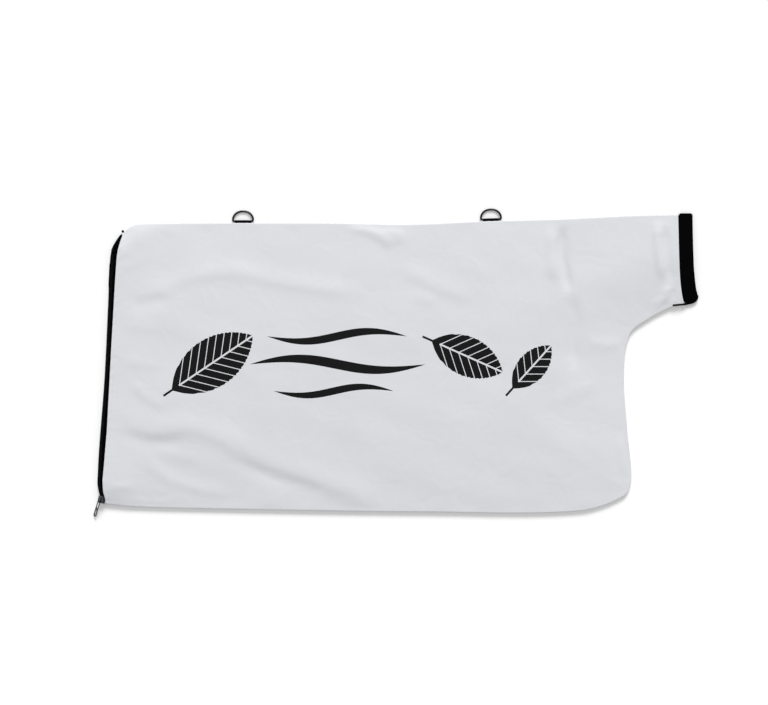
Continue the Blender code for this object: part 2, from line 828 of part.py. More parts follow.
def pull_frame():
    """The pull's own axes: origin on its bar, X along the bar, -Y towards its tip."""
    height = CHANNEL_ABOVE + SLIDER_WALL + 1.5 * GAP + PULL_BAR / 2
    seat = Matrix.Translation((0.0, PULL_BAR_SEAT, height))
    yaw = Matrix.Rotation(-PULL_YAW, 4, "Z")
    droop = Matrix.Rotation(PULL_DROOP, 4, "X")
    return zip_frame() @ seat @ yaw @ droop


def make_pull(collection):
    half = PULL_WIDTH / 2
    rail = (PULL_WIDTH - 0.0040) / 2
    top = PULL_BAR / 2
    low = top - PULL_LENGTH
    window = rounded(half - rail, -top - PULL_WINDOW, -top, 0.0008, 2)
    eye = rounded(PULL_EYE_WIDTH / 2, low + rail * 1.4, low + rail * 1.4 + PULL_EYE, 0.0014)
    edge = rounded(half, low, top, half * 0.55)
    pull = flat_solid("zip_pull", [edge, window, eye], PULL_THICKNESS, collection)
    pull.matrix_world = pull_frame()
    finish(pull, *ZINC_LOOK)


def ring_places():
    """Each ring's name and the place of its bar, along the slope of the seam that it hangs from."""
    half = RING_WIDTH / 2
    for name, x in (("left", -RING_SPACING / 2), ("right", RING_SPACING / 2)):
        slope = math.atan2(UPPER.height_at(x + half) - UPPER.height_at(x - half), 2 * half)
        bar = Matrix.Translation((x, UPPER.height_at(x), SEAM_HEIGHT)) @ Matrix.Rotation(slope, 4, "Z")
        yield name, bar @ Matrix.Translation((0.0, BAR_OUT, 0.0))


def make_rings(collection):
    corner = RING_CORNER
    turn = math.degrees(math.asin(corner / (RING_RADIUS - corner)))
    reach = (RING_RADIUS - corner) * math.cos(math.radians(turn))
    bow = []
    for k in range(19):
        angle = math.radians(turn + (180.0 - 2 * turn) * k / 18)
        round_x, round_y = abs(math.cos(angle)), math.sin(angle)
        fuller = (round_x**RING_SQUARENESS + round_y**RING_SQUARENESS) ** (1.0 / RING_SQUARENESS)
        bow.append((RING_RADIUS * math.cos(angle) / fuller, RING_RADIUS * round_y / fuller))
    right = arc((reach, corner), corner, -90.0, turn, 5)
    left = [(-x, y) for x, y in reversed(right)]
    outline = right[:-1] + bow + left[1:]
    tilt = -math.asin((SEAM_HEIGHT - RING_WIRE / 2 - 0.0001) / RING_RADIUS)
    for name, place in ring_places():
        points = [(x, y, 0.0) for x, y in outline]
        ring = wire("d_ring_" + name, points, RING_WIRE / 2, True, collection)
        ring.matrix_world = place @ Matrix.Rotation(tilt, 4, "X")
        ring = as_mesh(ring, collection)
        finish(ring, *NICKEL_LOOK)


def make_loops(collection):
    """Tape folded round each ring's bar, with both ends sewn into the upper seam."""
    bore = RING_WIRE / 2 + LOOP_PLAY
    outer = bore + LOOP_TAPE
    stem = LOOP_TAPE
    turn = math.degrees(math.asin(stem / outer))
    for name, place in ring_places():
        outline = arc((0.0, 0.0), outer, -180.0 + turn, 180.0 - turn, 16)
        outline += [(-outer - LOOP_STEM, stem), (-outer - LOOP_STEM, -stem)]
        hole = arc((0.0, 0.0), bore, 0.0, 337.5, 15)
        loop = flat_solid("ring_loop_" + name, [outline, hole], LOOP_WIDTH, collection)
        stand = Matrix(((0.0, 0.0, 1.0), (1.0, 0.0, 0.0), (0.0, 1.0, 0.0))).to_4x4()
        loop.matrix_world = place @ stand
        finish(loop, *BLACK_LOOK)


def main():
    clear_scene()
    scene = bpy.context.scene.collection
    bag = bpy.data.collections.new("collection_bag")
    cutters = bpy.data.collections.new("cutters")
    scene.children.link(bag)
    scene.children.link(cutters)
    make_panels(bag)
    make_band(bag)
    make_tapes(bag)
    chain_end = make_coils(bag)
    make_stops(bag, cutters, chain_end)
    make_slider(bag, cutters)
    make_pull(bag)
    make_rings(bag)
    make_loops(bag)


main()
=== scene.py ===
"""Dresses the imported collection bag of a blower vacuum: cloth, seams, zip, elastic, rings and their light."""

import logging
import math
from dataclasses import dataclass, field
from enum import Enum
from functools import partial
from typing import Any, Callable, Sequence

import bmesh
import bpy
import numpy as np
from mathutils import Matrix, Vector


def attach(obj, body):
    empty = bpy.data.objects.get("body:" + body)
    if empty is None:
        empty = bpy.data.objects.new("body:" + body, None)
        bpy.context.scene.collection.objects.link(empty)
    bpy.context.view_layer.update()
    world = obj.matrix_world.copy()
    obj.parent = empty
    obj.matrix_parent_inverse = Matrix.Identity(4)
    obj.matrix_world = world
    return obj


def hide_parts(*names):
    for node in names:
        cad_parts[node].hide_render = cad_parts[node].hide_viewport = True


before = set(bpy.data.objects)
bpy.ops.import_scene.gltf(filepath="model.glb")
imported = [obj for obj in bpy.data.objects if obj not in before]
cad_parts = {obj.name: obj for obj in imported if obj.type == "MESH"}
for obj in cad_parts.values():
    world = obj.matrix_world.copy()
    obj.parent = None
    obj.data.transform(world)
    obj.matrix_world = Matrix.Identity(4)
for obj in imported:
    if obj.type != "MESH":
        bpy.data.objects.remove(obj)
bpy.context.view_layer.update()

LOG = logging.getLogger("collection_bag")
MM = 0.001
Array = np.ndarray
Socket = bpy.types.NodeSocket
Adder = Callable[..., Socket]


# Shader helpers


def linear(colour: str) -> tuple[float, float, float, float]:
    """Turns an sRGB hex colour to the linear values that shaders take.

    Args:
        colour: Six hex digits, such as "D8D9DD".

    Returns:
        Red, green, blue and an alpha of 1.
    """
    parts = [int(colour[k:k + 2], 16) / 255.0 for k in (0, 2, 4)]
    values = [c / 12.92 if c <= 0.04045 else ((c + 0.055) / 1.055) ** 2.4 for c in parts]
    return values[0], values[1], values[2], 1.0


def feed(node: bpy.types.Node, values: dict[Any, Any]) -> None:
    """Links or sets the inputs of one node.

    Args:
        node: The node, in its tree.
        values: For each input, by number or name, a socket to link or a value to set.
    """
    for key, value in values.items():
        if isinstance(value, Socket):
            node.id_data.links.new(value, node.inputs[key])
        else:
            node.inputs[key].default_value = value


def add_node(tree: bpy.types.NodeTree, kind: str, *feeds: Any, inputs: dict[Any, Any] | None = None,
             output: int | str = 0, **settings: Any) -> Socket:
    """Adds one shader node, sets it up and links what feeds it.

    Args:
        tree: The material's node tree.
        kind: The node's kind, with its operation after a dot where it has one, such as "Math.ADD".
        feeds: For its first inputs in their order, a socket to link or a value to set.
        inputs: The same for other inputs, by number or name.
        output: The output wanted, by number or name.
        settings: Properties of the node itself, such as data_type.

    Returns:
        The wanted output socket.
    """
    kind, _, operation = kind.partition(".")
    node = tree.nodes.new("ShaderNode" + kind)
    if operation:
        node.operation = operation
    for name, value in settings.items():
        setattr(node, name, value)
    feed(node, {**dict(enumerate(feeds)), **(inputs or {})})
    return node.outputs[output]


def new_material(name: str) -> tuple[bpy.types.Material, bpy.types.Node, Adder]:
    """Makes an empty node material with a Principled shader.

    Args:
        name: The material's name.

    Returns:
        The material, its Principled node, and add_node for its own tree.
    """
    material = bpy.data.materials.new(name)
    material.use_nodes = True
    tree = material.node_tree
    return material, tree.nodes["Principled BSDF"], partial(add_node, tree)


# Finishes


@dataclass(frozen=True)
class Leaf:
    """One printed leaf: its middle, turn, length and width, in metres and degrees."""

    x: float
    y: float
    turn: float
    length: float
    width: float


@dataclass(frozen=True)
class AirLine:
    """One printed line of moving air: a bowed stroke from left to right, thick in its middle."""

    x0: float
    x1: float
    y: float
    bow: float
    thick: float


@dataclass(frozen=True)
class GardenPrint:
    """The generic print: leaves and lines of air, drawn by distance in Object coordinates."""

    leaves: tuple[Leaf, ...] = (
        Leaf(-0.232, 0.006, 34.0, 0.148, 0.074),
        Leaf(0.150, 0.016, -24.0, 0.118, 0.060),
        Leaf(0.247, 0.000, 48.0, 0.088, 0.044),
    )
    lines: tuple[AirLine, ...] = (
        AirLine(-0.150, 0.060, 0.046, 0.0075, 0.0062),
        AirLine(-0.176, 0.088, 0.004, -0.0085, 0.0074),
        AirLine(-0.140, 0.040, -0.036, 0.0065, 0.0056),
    )
    midrib: float = 0.0013
    vein: float = 0.0150
    vein_lean: float = 0.9
    vein_share: float = 0.11
    tooth: float = 0.004
    tooth_depth: float = 0.28
    stem: float = 0.014
    stem_width: float = 1.25
    line_taper: float = 2.2
    facing_up: float = 0.2

    def mask(self, add: Adder) -> Socket:
        """Builds the print's coverage, on faces that look up.

        Args:
            add: Adds a node to the cloth's tree.

        Returns:
            A socket that is 1 under ink and 0 on bare cloth.
        """
        place = add("TexCoord", output="Object")
        total: Any = 0.0
        for leaf in self.leaves:
            total = add("Math.MAXIMUM", total, self.leaf(add, place, leaf))
        flat = add("SeparateXYZ", place).node
        for line in self.lines:
            total = add("Math.MAXIMUM", total, self.line(add, flat.outputs["X"], flat.outputs["Y"], line))
        up = add("SeparateXYZ", add("NewGeometry", output="Normal"), output="Z")
        return add("Math.MULTIPLY", total, add("Math.GREATER_THAN", up, self.facing_up))

    def leaf(self, add: Adder, place: Socket, leaf: Leaf) -> Socket:
        """Draws one leaf as the overlap of two discs, less its midrib and side veins.

        Args:
            add: Adds a node to the cloth's tree.
            place: Object coordinates.
            leaf: The leaf's own sizes.

        Returns:
            The leaf's coverage.
        """
        turned = add("Mapping", place, inputs={
            "Location": (leaf.x, leaf.y, 0.0), "Rotation": (0.0, 0.0, math.radians(leaf.turn)),
        }, vector_type="TEXTURE")
        split = add("SeparateXYZ", turned).node
        along, across = split.outputs["X"], add("Math.ABSOLUTE", split.outputs["Y"])
        radius = (leaf.length ** 2 / 4 + leaf.width ** 2 / 4) / leaf.width
        zigzag = add("Math.PINGPONG", add("Math.SUBTRACT", along, across), self.tooth)
        tooth = add("Math.MULTIPLY", zigzag, self.tooth_depth)
        offset = add("Math.ADD", add("Math.ADD", across, radius - leaf.width / 2), tooth)
        squares = add("Math.ADD", add("Math.POWER", along, 2.0), add("Math.POWER", offset, 2.0))
        blade = add("Math.LESS_THAN", add("Math.SQRT", squares), radius)
        rib = add("Math.GREATER_THAN", across, self.midrib)
        slant = add("Math.SUBTRACT", along, add("Math.MULTIPLY", across, self.vein_lean))
        veins = add("Math.GREATER_THAN", add("Math.FRACT", add("Math.DIVIDE", slant, self.vein)), self.vein_share)
        shown = add("Math.MULTIPLY", blade, add("Math.MULTIPLY", rib, veins))
        from_foot = add("Math.ABSOLUTE", add("Math.ADD", along, leaf.length / 2))
        stem = add("Math.MULTIPLY", add("Math.LESS_THAN", across, self.midrib * self.stem_width),
                   add("Math.LESS_THAN", from_foot, self.stem))
        return add("Math.MAXIMUM", shown, stem)

    def line(self, add: Adder, x: Socket, y: Socket, line: AirLine) -> Socket:
        """Draws one line of air.

        Args:
            add: Adds a node to the cloth's tree.
            x: Object X.
            y: Object Y.
            line: The stroke's own sizes.

        Returns:
            The stroke's coverage.
        """
        half = (line.x1 - line.x0) / 2
        share = add("Math.DIVIDE", add("Math.SUBTRACT", x, (line.x0 + line.x1) / 2), half)
        wave = add("Math.MULTIPLY", add("Math.SINE", add("Math.MULTIPLY", share, math.pi)), line.bow)
        offset = add("Math.ABSOLUTE", add("Math.SUBTRACT", add("Math.SUBTRACT", y, line.y), wave))
        room = add("Math.SUBTRACT", 1.0, add("Math.POWER", add("Math.ABSOLUTE", share), self.line_taper))
        return add("Math.LESS_THAN", offset, add("Math.MULTIPLY", room, line.thick))


@dataclass(frozen=True)
class WovenPolyester:
    """Close plain-woven polyester, heat-set and lightly coated: a smooth pale cloth with a faint soft sheen."""

    name: str = "woven_polyester_pale_grey"
    colour: str = "DADBDF"
    ink: str = "0B0B0D"
    roughness: float = 0.58
    ink_gloss: float = 0.16
    thread: float = 0.00050
    weave_depth: float = 0.00004
    mottles_per_metre: float = 9.0
    mottle: float = 0.05
    creases_per_metre: float = 34.0
    crumple_depth: float = 0.0011

    def material(self, printed: GardenPrint | None = None) -> bpy.types.Material:
        """Builds the cloth, with or without the print on it.

        Args:
            printed: The print, on the front cloth only.

        Returns:
            The finished material.
        """
        material, shader, add = new_material(self.name + ("_printed" if printed else ""))
        place = add("TexCoord", output="Object")
        # A slow mottle of a few per cent keeps the pale field from looking like paper
        cloud = add("TexNoise", inputs={"Vector": place, "Scale": self.mottles_per_metre, "Detail": 3.0})
        tone = add("Math.MULTIPLY_ADD", cloud, self.mottle, 1.0 - self.mottle / 2)
        base = add("VectorMath.SCALE", linear(self.colour)[:3], inputs={3: tone})
        roughness: Any = self.roughness
        if printed:
            covered = printed.mask(add)
            base = add("Mix", covered, inputs={6: base, 7: linear(self.ink)}, output=2, data_type="RGBA")
            roughness = add("Math.MULTIPLY_ADD", covered, -self.ink_gloss, roughness)
        # Threads over and under each other; drawn a little coarser than real ones, so that they can show
        split = add("SeparateXYZ", place).node
        turn = math.pi / self.thread
        warp, weft = [add("Math.SINE", add("Math.MULTIPLY", split.outputs[axis], turn)) for axis in "XY"]
        weave = add("Math.MULTIPLY", add("Math.MULTIPLY", warp, weft), self.weave_depth)
        # Small soft creases left from folding, 15 to 40 mm apart
        crease = add("TexNoise", inputs={
            "Vector": place, "Scale": self.creases_per_metre, "Detail": 2.5, "Roughness": 0.42, "Distortion": 0.9,
        })
        height = add("Math.ADD", weave, add("Math.MULTIPLY", crease, self.crumple_depth))
        bump = add("Bump", inputs={"Height": height, "Strength": 0.55, "Distance": 1.0})
        feed(shader, {"Base Color": base, "Roughness": roughness, "Normal": bump, "Sheen Weight": 0.06,
                      "Sheen Roughness": 0.45, "Specular IOR Level": 0.16})
        return material


class Weave(Enum):
    """How a narrow black tape is woven."""

    RIBBED = "ribbed"
    HERRINGBONE = "herringbone"


@dataclass(frozen=True)
class NarrowTape:
    """Narrow woven polyester, dyed black in the piece: matt, with the lines of its weave along it."""

    name: str
    weave: Weave
    rib: float
    colour: str
    roughness: float = 0.85
    depth: float = 0.00016
    pick_share: float = 0.25
    picks_per_rib: float = 1.6

    def material(self) -> bpy.types.Material:
        """Builds the tape from its own UV map, in metres along and across it.

        Returns:
            The finished material.
        """
        material, shader, add = new_material(self.name)
        split = add("SeparateXYZ", add("TexCoord", output="UV")).node
        along, across = split.outputs["X"], split.outputs["Y"]
        turn = 2 * math.pi / self.rib
        if self.weave is Weave.HERRINGBONE:
            zigzag = add("Math.PINGPONG", across, self.rib * 2.0)
            height = add("Math.SINE", add("Math.MULTIPLY", add("Math.ADD", along, zigzag), turn))
        else:
            ribs = add("Math.ABSOLUTE", add("Math.SINE", add("Math.MULTIPLY", across, turn / 2)))
            picks = add("Math.SINE", add("Math.MULTIPLY", along, turn * self.picks_per_rib))
            height = add("Math.MULTIPLY_ADD", picks, self.pick_share, ribs)
        depth = add("Math.MULTIPLY", height, self.depth)
        bump = add("Bump", inputs={"Height": depth, "Strength": 0.8, "Distance": 1.0})
        # The crowns of the threads catch a little more light than the gaps between them
        tone = add("Math.MULTIPLY_ADD", height, 0.22, 0.95)
        base = add("VectorMath.SCALE", linear(self.colour)[:3], inputs={3: tone})
        feed(shader, {"Base Color": base, "Roughness": self.roughness, "Normal": bump, "Specular IOR Level": 0.01})
        return material


@dataclass(frozen=True)
class DrawnNylon:
    """Drawn nylon monofilament or thread: smooth round strands with a narrow highlight along them."""

    name: str
    colour: str
    roughness: float
    gloss: float = 0.12
    tones_per_metre: float = 260.0

    def material(self) -> bpy.types.Material:
        """Builds the strand with a slight change of tone along its length.

        Returns:
            The finished material.
        """
        material, shader, add = new_material(self.name)
        place = add("TexCoord", output="Object")
        noise = add("TexNoise", inputs={"Vector": place, "Scale": self.tones_per_metre, "Detail": 2.0})
        tone = add("Math.MULTIPLY_ADD", noise, 0.25, 0.88)
        base = add("VectorMath.SCALE", linear(self.colour)[:3], inputs={3: tone})
        feed(shader, {"Base Color": base, "Roughness": self.roughness, "Specular IOR Level": self.gloss})
        return material


@dataclass(frozen=True)
class PlatedMetal:
    """Nickel-plated metal: grey, bright on its edges, with fine tumbling marks in the plating."""

    name: str
    colour: str
    roughness: float
    wander: float = 0.16
    mark: float = 0.0006
    depth: float = 0.00002
    tones_per_metre: float = 180.0

    def material(self) -> bpy.types.Material:
        """Builds the plating, whose gloss and tone both wander a little.

        Returns:
            The finished material.
        """
        material, shader, add = new_material(self.name)
        place = add("TexCoord", output="Object")
        fine = add("TexNoise", inputs={"Vector": place, "Scale": 1.0 / self.mark, "Detail": 3.0})
        slow = add("TexNoise", inputs={"Vector": place, "Scale": self.tones_per_metre, "Detail": 2.0})
        roughness = add("Math.MULTIPLY_ADD", slow, self.wander, self.roughness - self.wander / 2)
        marks = add("Math.MULTIPLY", fine, self.depth)
        bump = add("Bump", inputs={"Height": marks, "Strength": 0.5, "Distance": 1.0})
        tone = add("Math.MULTIPLY_ADD", slow, 0.24, 0.88)
        base = add("VectorMath.SCALE", linear(self.colour)[:3], inputs={3: tone})
        feed(shader, {"Base Color": base, "Metallic": 1.0, "Roughness": roughness, "Normal": bump})
        return material


# Mesh helpers


def link(mesh: bpy.types.Mesh, name: str) -> bpy.types.Object:
    """Puts a mesh in the scene as an object at the origin.

    Args:
        mesh: The finished mesh.
        name: The name of both.

    Returns:
        The new object.
    """
    mesh.name = name
    obj = bpy.data.objects.new(name, mesh)
    bpy.context.scene.collection.objects.link(obj)
    return obj


def object_of(bm: bmesh.types.BMesh, name: str) -> bpy.types.Object:
    """Turns a finished bmesh into an object and frees it.

    Args:
        bm: The finished bmesh.
        name: The object's name.

    Returns:
        The new object.
    """
    mesh = bpy.data.meshes.new(name)
    bm.to_mesh(mesh)
    bm.free()
    return link(mesh, name)


def shade(obj: bpy.types.Object, angle: float = 40.0) -> None:
    """Shades a mesh smooth, with sharp edges past an angle in degrees."""
    obj.data.shade_smooth()
    obj.data.set_sharp_from_angle(angle=math.radians(angle))


def laid_grid(name: str, points: Array, around: bool = False,
              surface: Array | None = None) -> bpy.types.Object:
    """Makes a grid with a bmesh operator and lays its points.

    Args:
        name: The object's name.
        points: Places by column, row and axis, in metres.
        around: True where the last row meets the first one.
        surface: Optional metres along and across for the UV map, by column and row.

    Returns:
        The new object.
    """
    columns, rows = points.shape[:2]
    bm = bmesh.new()
    bmesh.ops.create_grid(bm, x_segments=columns - 1, y_segments=rows - 1, size=0.5, calc_uvs=True)
    if surface is not None:
        layer = bm.loops.layers.uv.verify()
        for face in bm.faces:
            for loop in face.loops:
                column = round((loop.vert.co.x + 0.5) * (columns - 1))
                row = round((loop.vert.co.y + 0.5) * (rows - 1))
                loop[layer].uv = surface[column, row]
    obj = object_of(bm, name)
    flat = np.empty(columns * rows * 3, np.float32)
    obj.data.vertices.foreach_get("co", flat)
    flat = flat.reshape(-1, 3)
    column = np.rint((flat[:, 0] + 0.5) * (columns - 1)).astype(int)
    row = np.rint((flat[:, 1] + 0.5) * (rows - 1)).astype(int)
    obj.data.vertices.foreach_set("co", points[column, row].astype(np.float32).ravel())
    if around:
        bm = bmesh.new()
        bm.from_mesh(obj.data)
        bmesh.ops.remove_doubles(bm, verts=bm.verts, dist=1e-6)
        bm.to_mesh(obj.data)
        bm.free()
    obj.data.update()
    return obj


def thickened(obj: bpy.types.Object, thickness: float, offset: float = -1.0) -> bpy.types.Object:
    """Gives a sheet its thickness with Solidify and shades it smooth.

    Args:
        obj: The sheet.
        thickness: Its thickness, in metres.
        offset: -1 to lay the wall behind its face, 0 on both sides of it, 1 before it.

    Returns:
        The same object.
    """
    wall = obj.modifiers.new("thickness", "SOLIDIFY")
    wall.thickness = thickness
    wall.offset = offset
    wall.use_even_offset = False
    wall.use_quality_normals = True
    obj.data.shade_smooth()
    return obj


def tube(name: str, points: Sequence[Sequence[float]], radius: float, closed: bool = False,
         fineness: int = 3) -> bpy.types.Object:
    """Runs a round strand through points in the frame, as a finished mesh.

    Args:
        name: The object's name.
        points: The strand's middle line, in metres.
        radius: The strand's radius.
        closed: True for a ring.
        fineness: Bevel resolution of the strand.

    Returns:
        The strand, with its ends closed.
    """
    curve = bpy.data.curves.new(name, "CURVE")
    curve.dimensions = "3D"
    curve.bevel_depth = radius
    curve.bevel_resolution = fineness
    curve.use_fill_caps = not closed
    spline = curve.splines.new("POLY")
    spline.points.add(len(points) - 1)
    for point, place in zip(spline.points, points):
        point.co = (*place, 1.0)
    spline.use_cyclic_u = closed
    carrier = bpy.data.objects.new(name + "_line", curve)
    bpy.context.scene.collection.objects.link(carrier)
    graph = bpy.context.evaluated_depsgraph_get()
    mesh = bpy.data.meshes.new_from_object(carrier.evaluated_get(graph))
    bpy.data.objects.remove(carrier, do_unlink=True)
    bpy.data.curves.remove(curve)
    bm = bmesh.new()
    bm.from_mesh(mesh)
    bmesh.ops.remove_doubles(bm, verts=bm.verts, dist=1e-6)
    bmesh.ops.recalc_face_normals(bm, faces=bm.faces)
    bm.to_mesh(mesh)
    bm.free()
    obj = link(mesh, name)
    shade(obj, 60.0)
    return obj


def threads(name: str, places: Sequence[Matrix], length: float, thick: float) -> bpy.types.Object:
    """Lays one small strand of thread at each place, long in its own X.

    Args:
        name: The object's name.
        places: Where each stitch lies.
        length: Length of a stitch.
        thick: Thickness of the thread.

    Returns:
        All the stitches as one object.
    """
    bm = bmesh.new()
    form = Matrix.Diagonal((length / 2, thick / 2, thick / 2, 1.0))
    for place in places:
        bmesh.ops.create_uvsphere(bm, u_segments=6, v_segments=5, radius=1.0,
                                  matrix=place @ form @ Matrix.Rotation(math.pi / 2, 4, "Y"))
    obj = object_of(bm, name)
    obj.data.shade_smooth()
    return obj


def lengths_along(points: Array) -> Array:
    """Length of a line of points from its first one to each of them."""
    return np.concatenate([[0.0], np.cumsum(np.linalg.norm(np.diff(points, axis=0), axis=1))])


def stitch_row(line: Array, pitch: float) -> list[Matrix]:
    """Places stitches end to end along a line on a surface.

    Args:
        line: The line's points in the frame.
        pitch: Distance from one stitch to the next.

    Returns:
        One place for each stitch.
    """
    marks = lengths_along(line)
    places = []
    for k in range(int(marks[-1] / pitch)):
        here, there = [np.array([np.interp((k + part) * pitch, marks, line[:, axis]) for axis in range(3)])
                       for part in (0.15, 0.85)]
        run = Vector(there - here).normalized()
        side = Vector((0.0, 0.0, 1.0)).cross(run).normalized()
        turn = Matrix((run, side, run.cross(side))).transposed().to_4x4()
        places.append(Matrix.Translation(Vector((here + there) / 2)) @ turn)
    return places


def dress(obj: bpy.types.Object, material: bpy.types.Material, body: str, slot: str,
          *replaced: str) -> bpy.types.Object:
    """Gives a piece its material and its body, and hides the CAD nodes that it stands for.

    Args:
        obj: The piece.
        material: Its material.
        body: The body that it rides on.
        slot: Not used.
        replaced: The CAD nodes that it stands for.

    Returns:
        The same piece.
    """
    obj.data.materials.clear()
    obj.data.materials.append(material)
    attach(obj, body)
    if replaced:
        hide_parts(*replaced)
    LOG.info("%s rides on %s", obj.name, body)
    return obj


# The bag's outline


class FlatCurve:
    """A smooth flat curve through its anchors, read by the share of its length."""

    FINE = 24
    COARSE = 4
    STEP = 0.004

    def __init__(self, anchors: Sequence[Sequence[float]]) -> None:
        """Samples the curve between its anchors.

        Args:
            anchors: Points that the curve passes through, in metres.
        """
        given = np.array([tuple(anchor)[:2] for anchor in anchors], float)
        points = [spot for index in range(len(given) - 1) for spot in self.between(given, index)]
        self.points: Array = np.array([*points, given[-1]])
        self.lengths: Array = lengths_along(self.points)
        self.total: float = float(self.lengths[-1])

    def between(self, given: Array, index: int) -> list[Array]:
        """Samples the stretch after one anchor, with tangents from both neighbours.

        Args:
            given: All anchors.
            index: The anchor at the stretch's start.

        Returns:
            The stretch's points, without the last one.
        """
        p1, p2 = given[index], given[index + 1]
        p0 = given[index - 1] if index else p1 * 2 - p2
        p3 = given[index + 2] if index + 2 < len(given) else p2 * 2 - p1
        chord = np.linalg.norm(p2 - p1)
        start = (p2 - p0) * (chord / (np.linalg.norm(p1 - p0) + chord))
        end = (p3 - p1) * (chord / (np.linalg.norm(p3 - p2) + chord))
        found = []
        for share in np.arange(self.FINE) / self.FINE:
            s2, s3 = share ** 2, share ** 3
            found.append(p1 * (2 * s3 - 3 * s2 + 1) + start * (s3 - 2 * s2 + share)
                         + p2 * (3 * s2 - 2 * s3) + end * (s3 - s2))
        return found

    def at(self, share: Array) -> Array:
        """The curve's points at these shares of its length."""
        target = np.clip(share, 0.0, 1.0) * self.total
        return np.stack([np.interp(target, self.lengths, self.points[:, k]) for k in (0, 1)], axis=-1)

    def normal(self, share: Array) -> Array:
        """Finds which way is left of the curve's run.

        Args:
            share: Shares of the curve's length.

        Returns:
            One unit vector for each share.
        """
        run = self.at(np.minimum(share + self.STEP, 1.0)) - self.at(np.maximum(share - self.STEP, 0.0))
        run /= np.linalg.norm(run, axis=-1, keepdims=True)
        return np.stack([-run[..., 1], run[..., 0]], axis=-1)

    def distance(self, places: Array) -> Array:
        """Distances of flat places from the curve."""
        return nearest(self.points[::self.COARSE], places.reshape(-1, 2))[0].reshape(places.shape[:-1])


def nearest(line: Array, places: Array) -> tuple[Array, Array, Array]:
    """Finds how places lie beside a line.

    Args:
        line: The line's points.
        places: Flat places, one to a row.

    Returns:
        Distance from the line, side (1 to its left, -1 to its right) and share of its length.
    """
    best = np.full(len(places), np.inf)
    side = np.zeros(len(places))
    share = np.zeros(len(places))
    steps = np.linalg.norm(np.diff(line, axis=0), axis=1)
    marks = np.concatenate([[0.0], np.cumsum(steps)]) / steps.sum()
    for k, (start, end) in enumerate(zip(line, line[1:])):
        run = end - start
        offset = places - start
        part = np.clip(offset @ run / max(run @ run, 1e-12), 0.0, 1.0)
        gap = offset - part[:, None] * run
        apart = np.hypot(gap[:, 0], gap[:, 1])
        closer = apart < best
        best = np.where(closer, apart, best)
        side = np.where(closer, np.sign(run[0] * offset[:, 1] - run[1] * offset[:, 0]), side)
        share = np.where(closer, marks[k] + part * (marks[k + 1] - marks[k]), share)
    return best, side, share


def smooth(value: Array) -> Array:
    """Eases a value from 0 to 1."""
    value = np.clip(value, 0.0, 1.0)
    return value * value * (3.0 - 2.0 * value)


